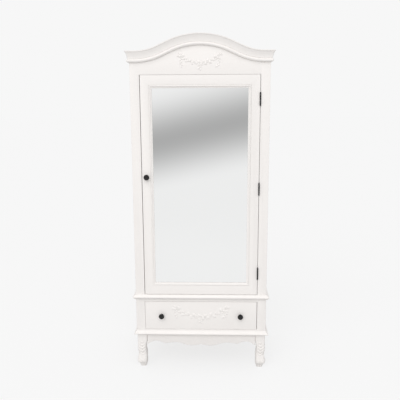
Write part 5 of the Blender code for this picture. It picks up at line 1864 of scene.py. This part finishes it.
# %% Lamps and card
SUN_PLACE, SUN_STRENGTH, SUN_SPREAD = Vector((-1.2, -5.0, 6.0)), 1.05, math.radians(60)
SOFTBOX_PLACE, SOFTBOX_POWER, SOFTBOX_SIZE = Vector((-0.3, -3.2, 2.9)), 12.0, 1.6
CHEST = Vector((0.0, 0.0, 1.2))
DOOR_UPPER = Vector((0.0, FACE_Y, 1.7))
CARD_DISTANCE, CARD_MIDDLE_Z, CARD_TILT = 6.0, 1.165, math.radians(-13.5)
CARD_HALF_HEIGHT, CARD_HALF_LENGTH, CARD_GREY = 0.86, 6.0, 0.45


def aim(thing, target):
    """Turn a lamp or a card so that its -Z points at a target."""
    thing.rotation_euler = (target - thing.location).to_track_quat("-Z", "Y").to_euler()


def add_lamp(name, kind, location, target, energy, **settings):
    """A lamp that lights surfaces, but isn't seen in them."""
    data = bpy.data.lights.new(name, kind)
    data.energy = energy
    for setting, value in settings.items():
        setattr(data, setting, value)
    lamp = bpy.data.objects.new(name, data)
    lamp.location = location
    aim(lamp, target)
    lamp.visible_glossy = False
    bpy.context.scene.collection.objects.link(lamp)


add_lamp("wide_wash", "SUN", SUN_PLACE, CHEST, SUN_STRENGTH, angle=SUN_SPREAD)
add_lamp("front_softbox", "AREA", SOFTBOX_PLACE, DOOR_UPPER, SOFTBOX_POWER, shape="DISK", size=SOFTBOX_SIZE)


def fading_grey():
    """A flat grey that fades out towards the card's upper and lower edges."""
    material = bpy.data.materials.new("grey_card")
    material.use_nodes = True
    tree = material.node_tree
    tree.nodes.clear()
    place = add_node(tree, "ShaderNodeSeparateXYZ",
                     {0: add_node(tree, "ShaderNodeTexCoord").outputs["Object"]})
    share = maths(tree, "DIVIDE", maths(tree, "ABSOLUTE", place.outputs[2]), CARD_HALF_HEIGHT)
    fade = add_node(tree, "ShaderNodeMapRange", {"Value": share, "From Min": 0.0, "From Max": 1.0,
                                                 "To Min": 1.0, "To Max": 0.0},
                    interpolation_type="SMOOTHSTEP")
    dark = add_node(tree, "ShaderNodeEmission", {"Color": (CARD_GREY, CARD_GREY, CARD_GREY, 1.0)})
    clear = add_node(tree, "ShaderNodeBsdfTransparent")
    mixed = add_node(tree, "ShaderNodeMixShader",
                     {0: fade.outputs[0], 1: clear.outputs[0], 2: dark.outputs[0]})
    add_node(tree, "ShaderNodeOutputMaterial", {"Surface": mixed.outputs[0]})
    return material


def grey_card():
    """A wide tilted strip that only reflections see."""
    mesh = bpy.data.meshes.new("grey_card")
    corners = rectangle(-CARD_HALF_LENGTH, CARD_HALF_LENGTH, -CARD_HALF_HEIGHT, CARD_HALF_HEIGHT)
    mesh.from_pydata([(across, 0.0, up) for across, up in corners], [], [(0, 1, 2, 3)])
    card = bpy.data.objects.new("grey_card", mesh)
    card.location = (0.0, -CARD_DISTANCE, CARD_MIDDLE_Z)
    card.rotation_euler = (0.0, CARD_TILT, 0.0)
    bpy.context.scene.collection.objects.link(card)
    mesh.materials.append(fading_grey())
    card.visible_camera = card.visible_diffuse = card.visible_shadow = False


grey_card()


# %% [markdown]
# ## Camera
#
# A 46 mm lens at eye height, a little to the right and looking slightly down, as someone standing in front
# of the wardrobe would see it.

# %% Camera
EYE_ACROSS, EYE_BEFORE_FACE, EYE_HEIGHT = 0.090, 2.902, 1.600
YAW, PITCH, ROLL = math.radians(-1.82), math.radians(10.78), math.radians(-0.28)
SENSOR_WIDTH_MM, LENS_MM = 36.0, 46.17
EYE = Vector((EYE_ACROSS, FACE_Y - EYE_BEFORE_FACE, EYE_HEIGHT))
camera_data = bpy.data.cameras.new("camera")
camera_data.sensor_width = SENSOR_WIDTH_MM
camera_data.lens = LENS_MM
camera = bpy.data.objects.new("camera", camera_data)
ahead = Vector((math.sin(YAW) * math.cos(PITCH), math.cos(YAW) * math.cos(PITCH), -math.sin(PITCH)))
sideways = Vector((math.cos(YAW), -math.sin(YAW), 0.0))
upward = sideways.cross(ahead)
right_axis = math.cos(ROLL) * sideways + math.sin(ROLL) * upward
up_axis = -math.sin(ROLL) * sideways + math.cos(ROLL) * upward
axes = Matrix((right_axis, up_axis, -ahead)).transposed().to_4x4()
camera.matrix_world = Matrix.Translation(EYE) @ axes
bpy.context.scene.collection.objects.link(camera)
bpy.context.scene.camera = camera
print("camera at", [round(value, 3) for value in EYE])
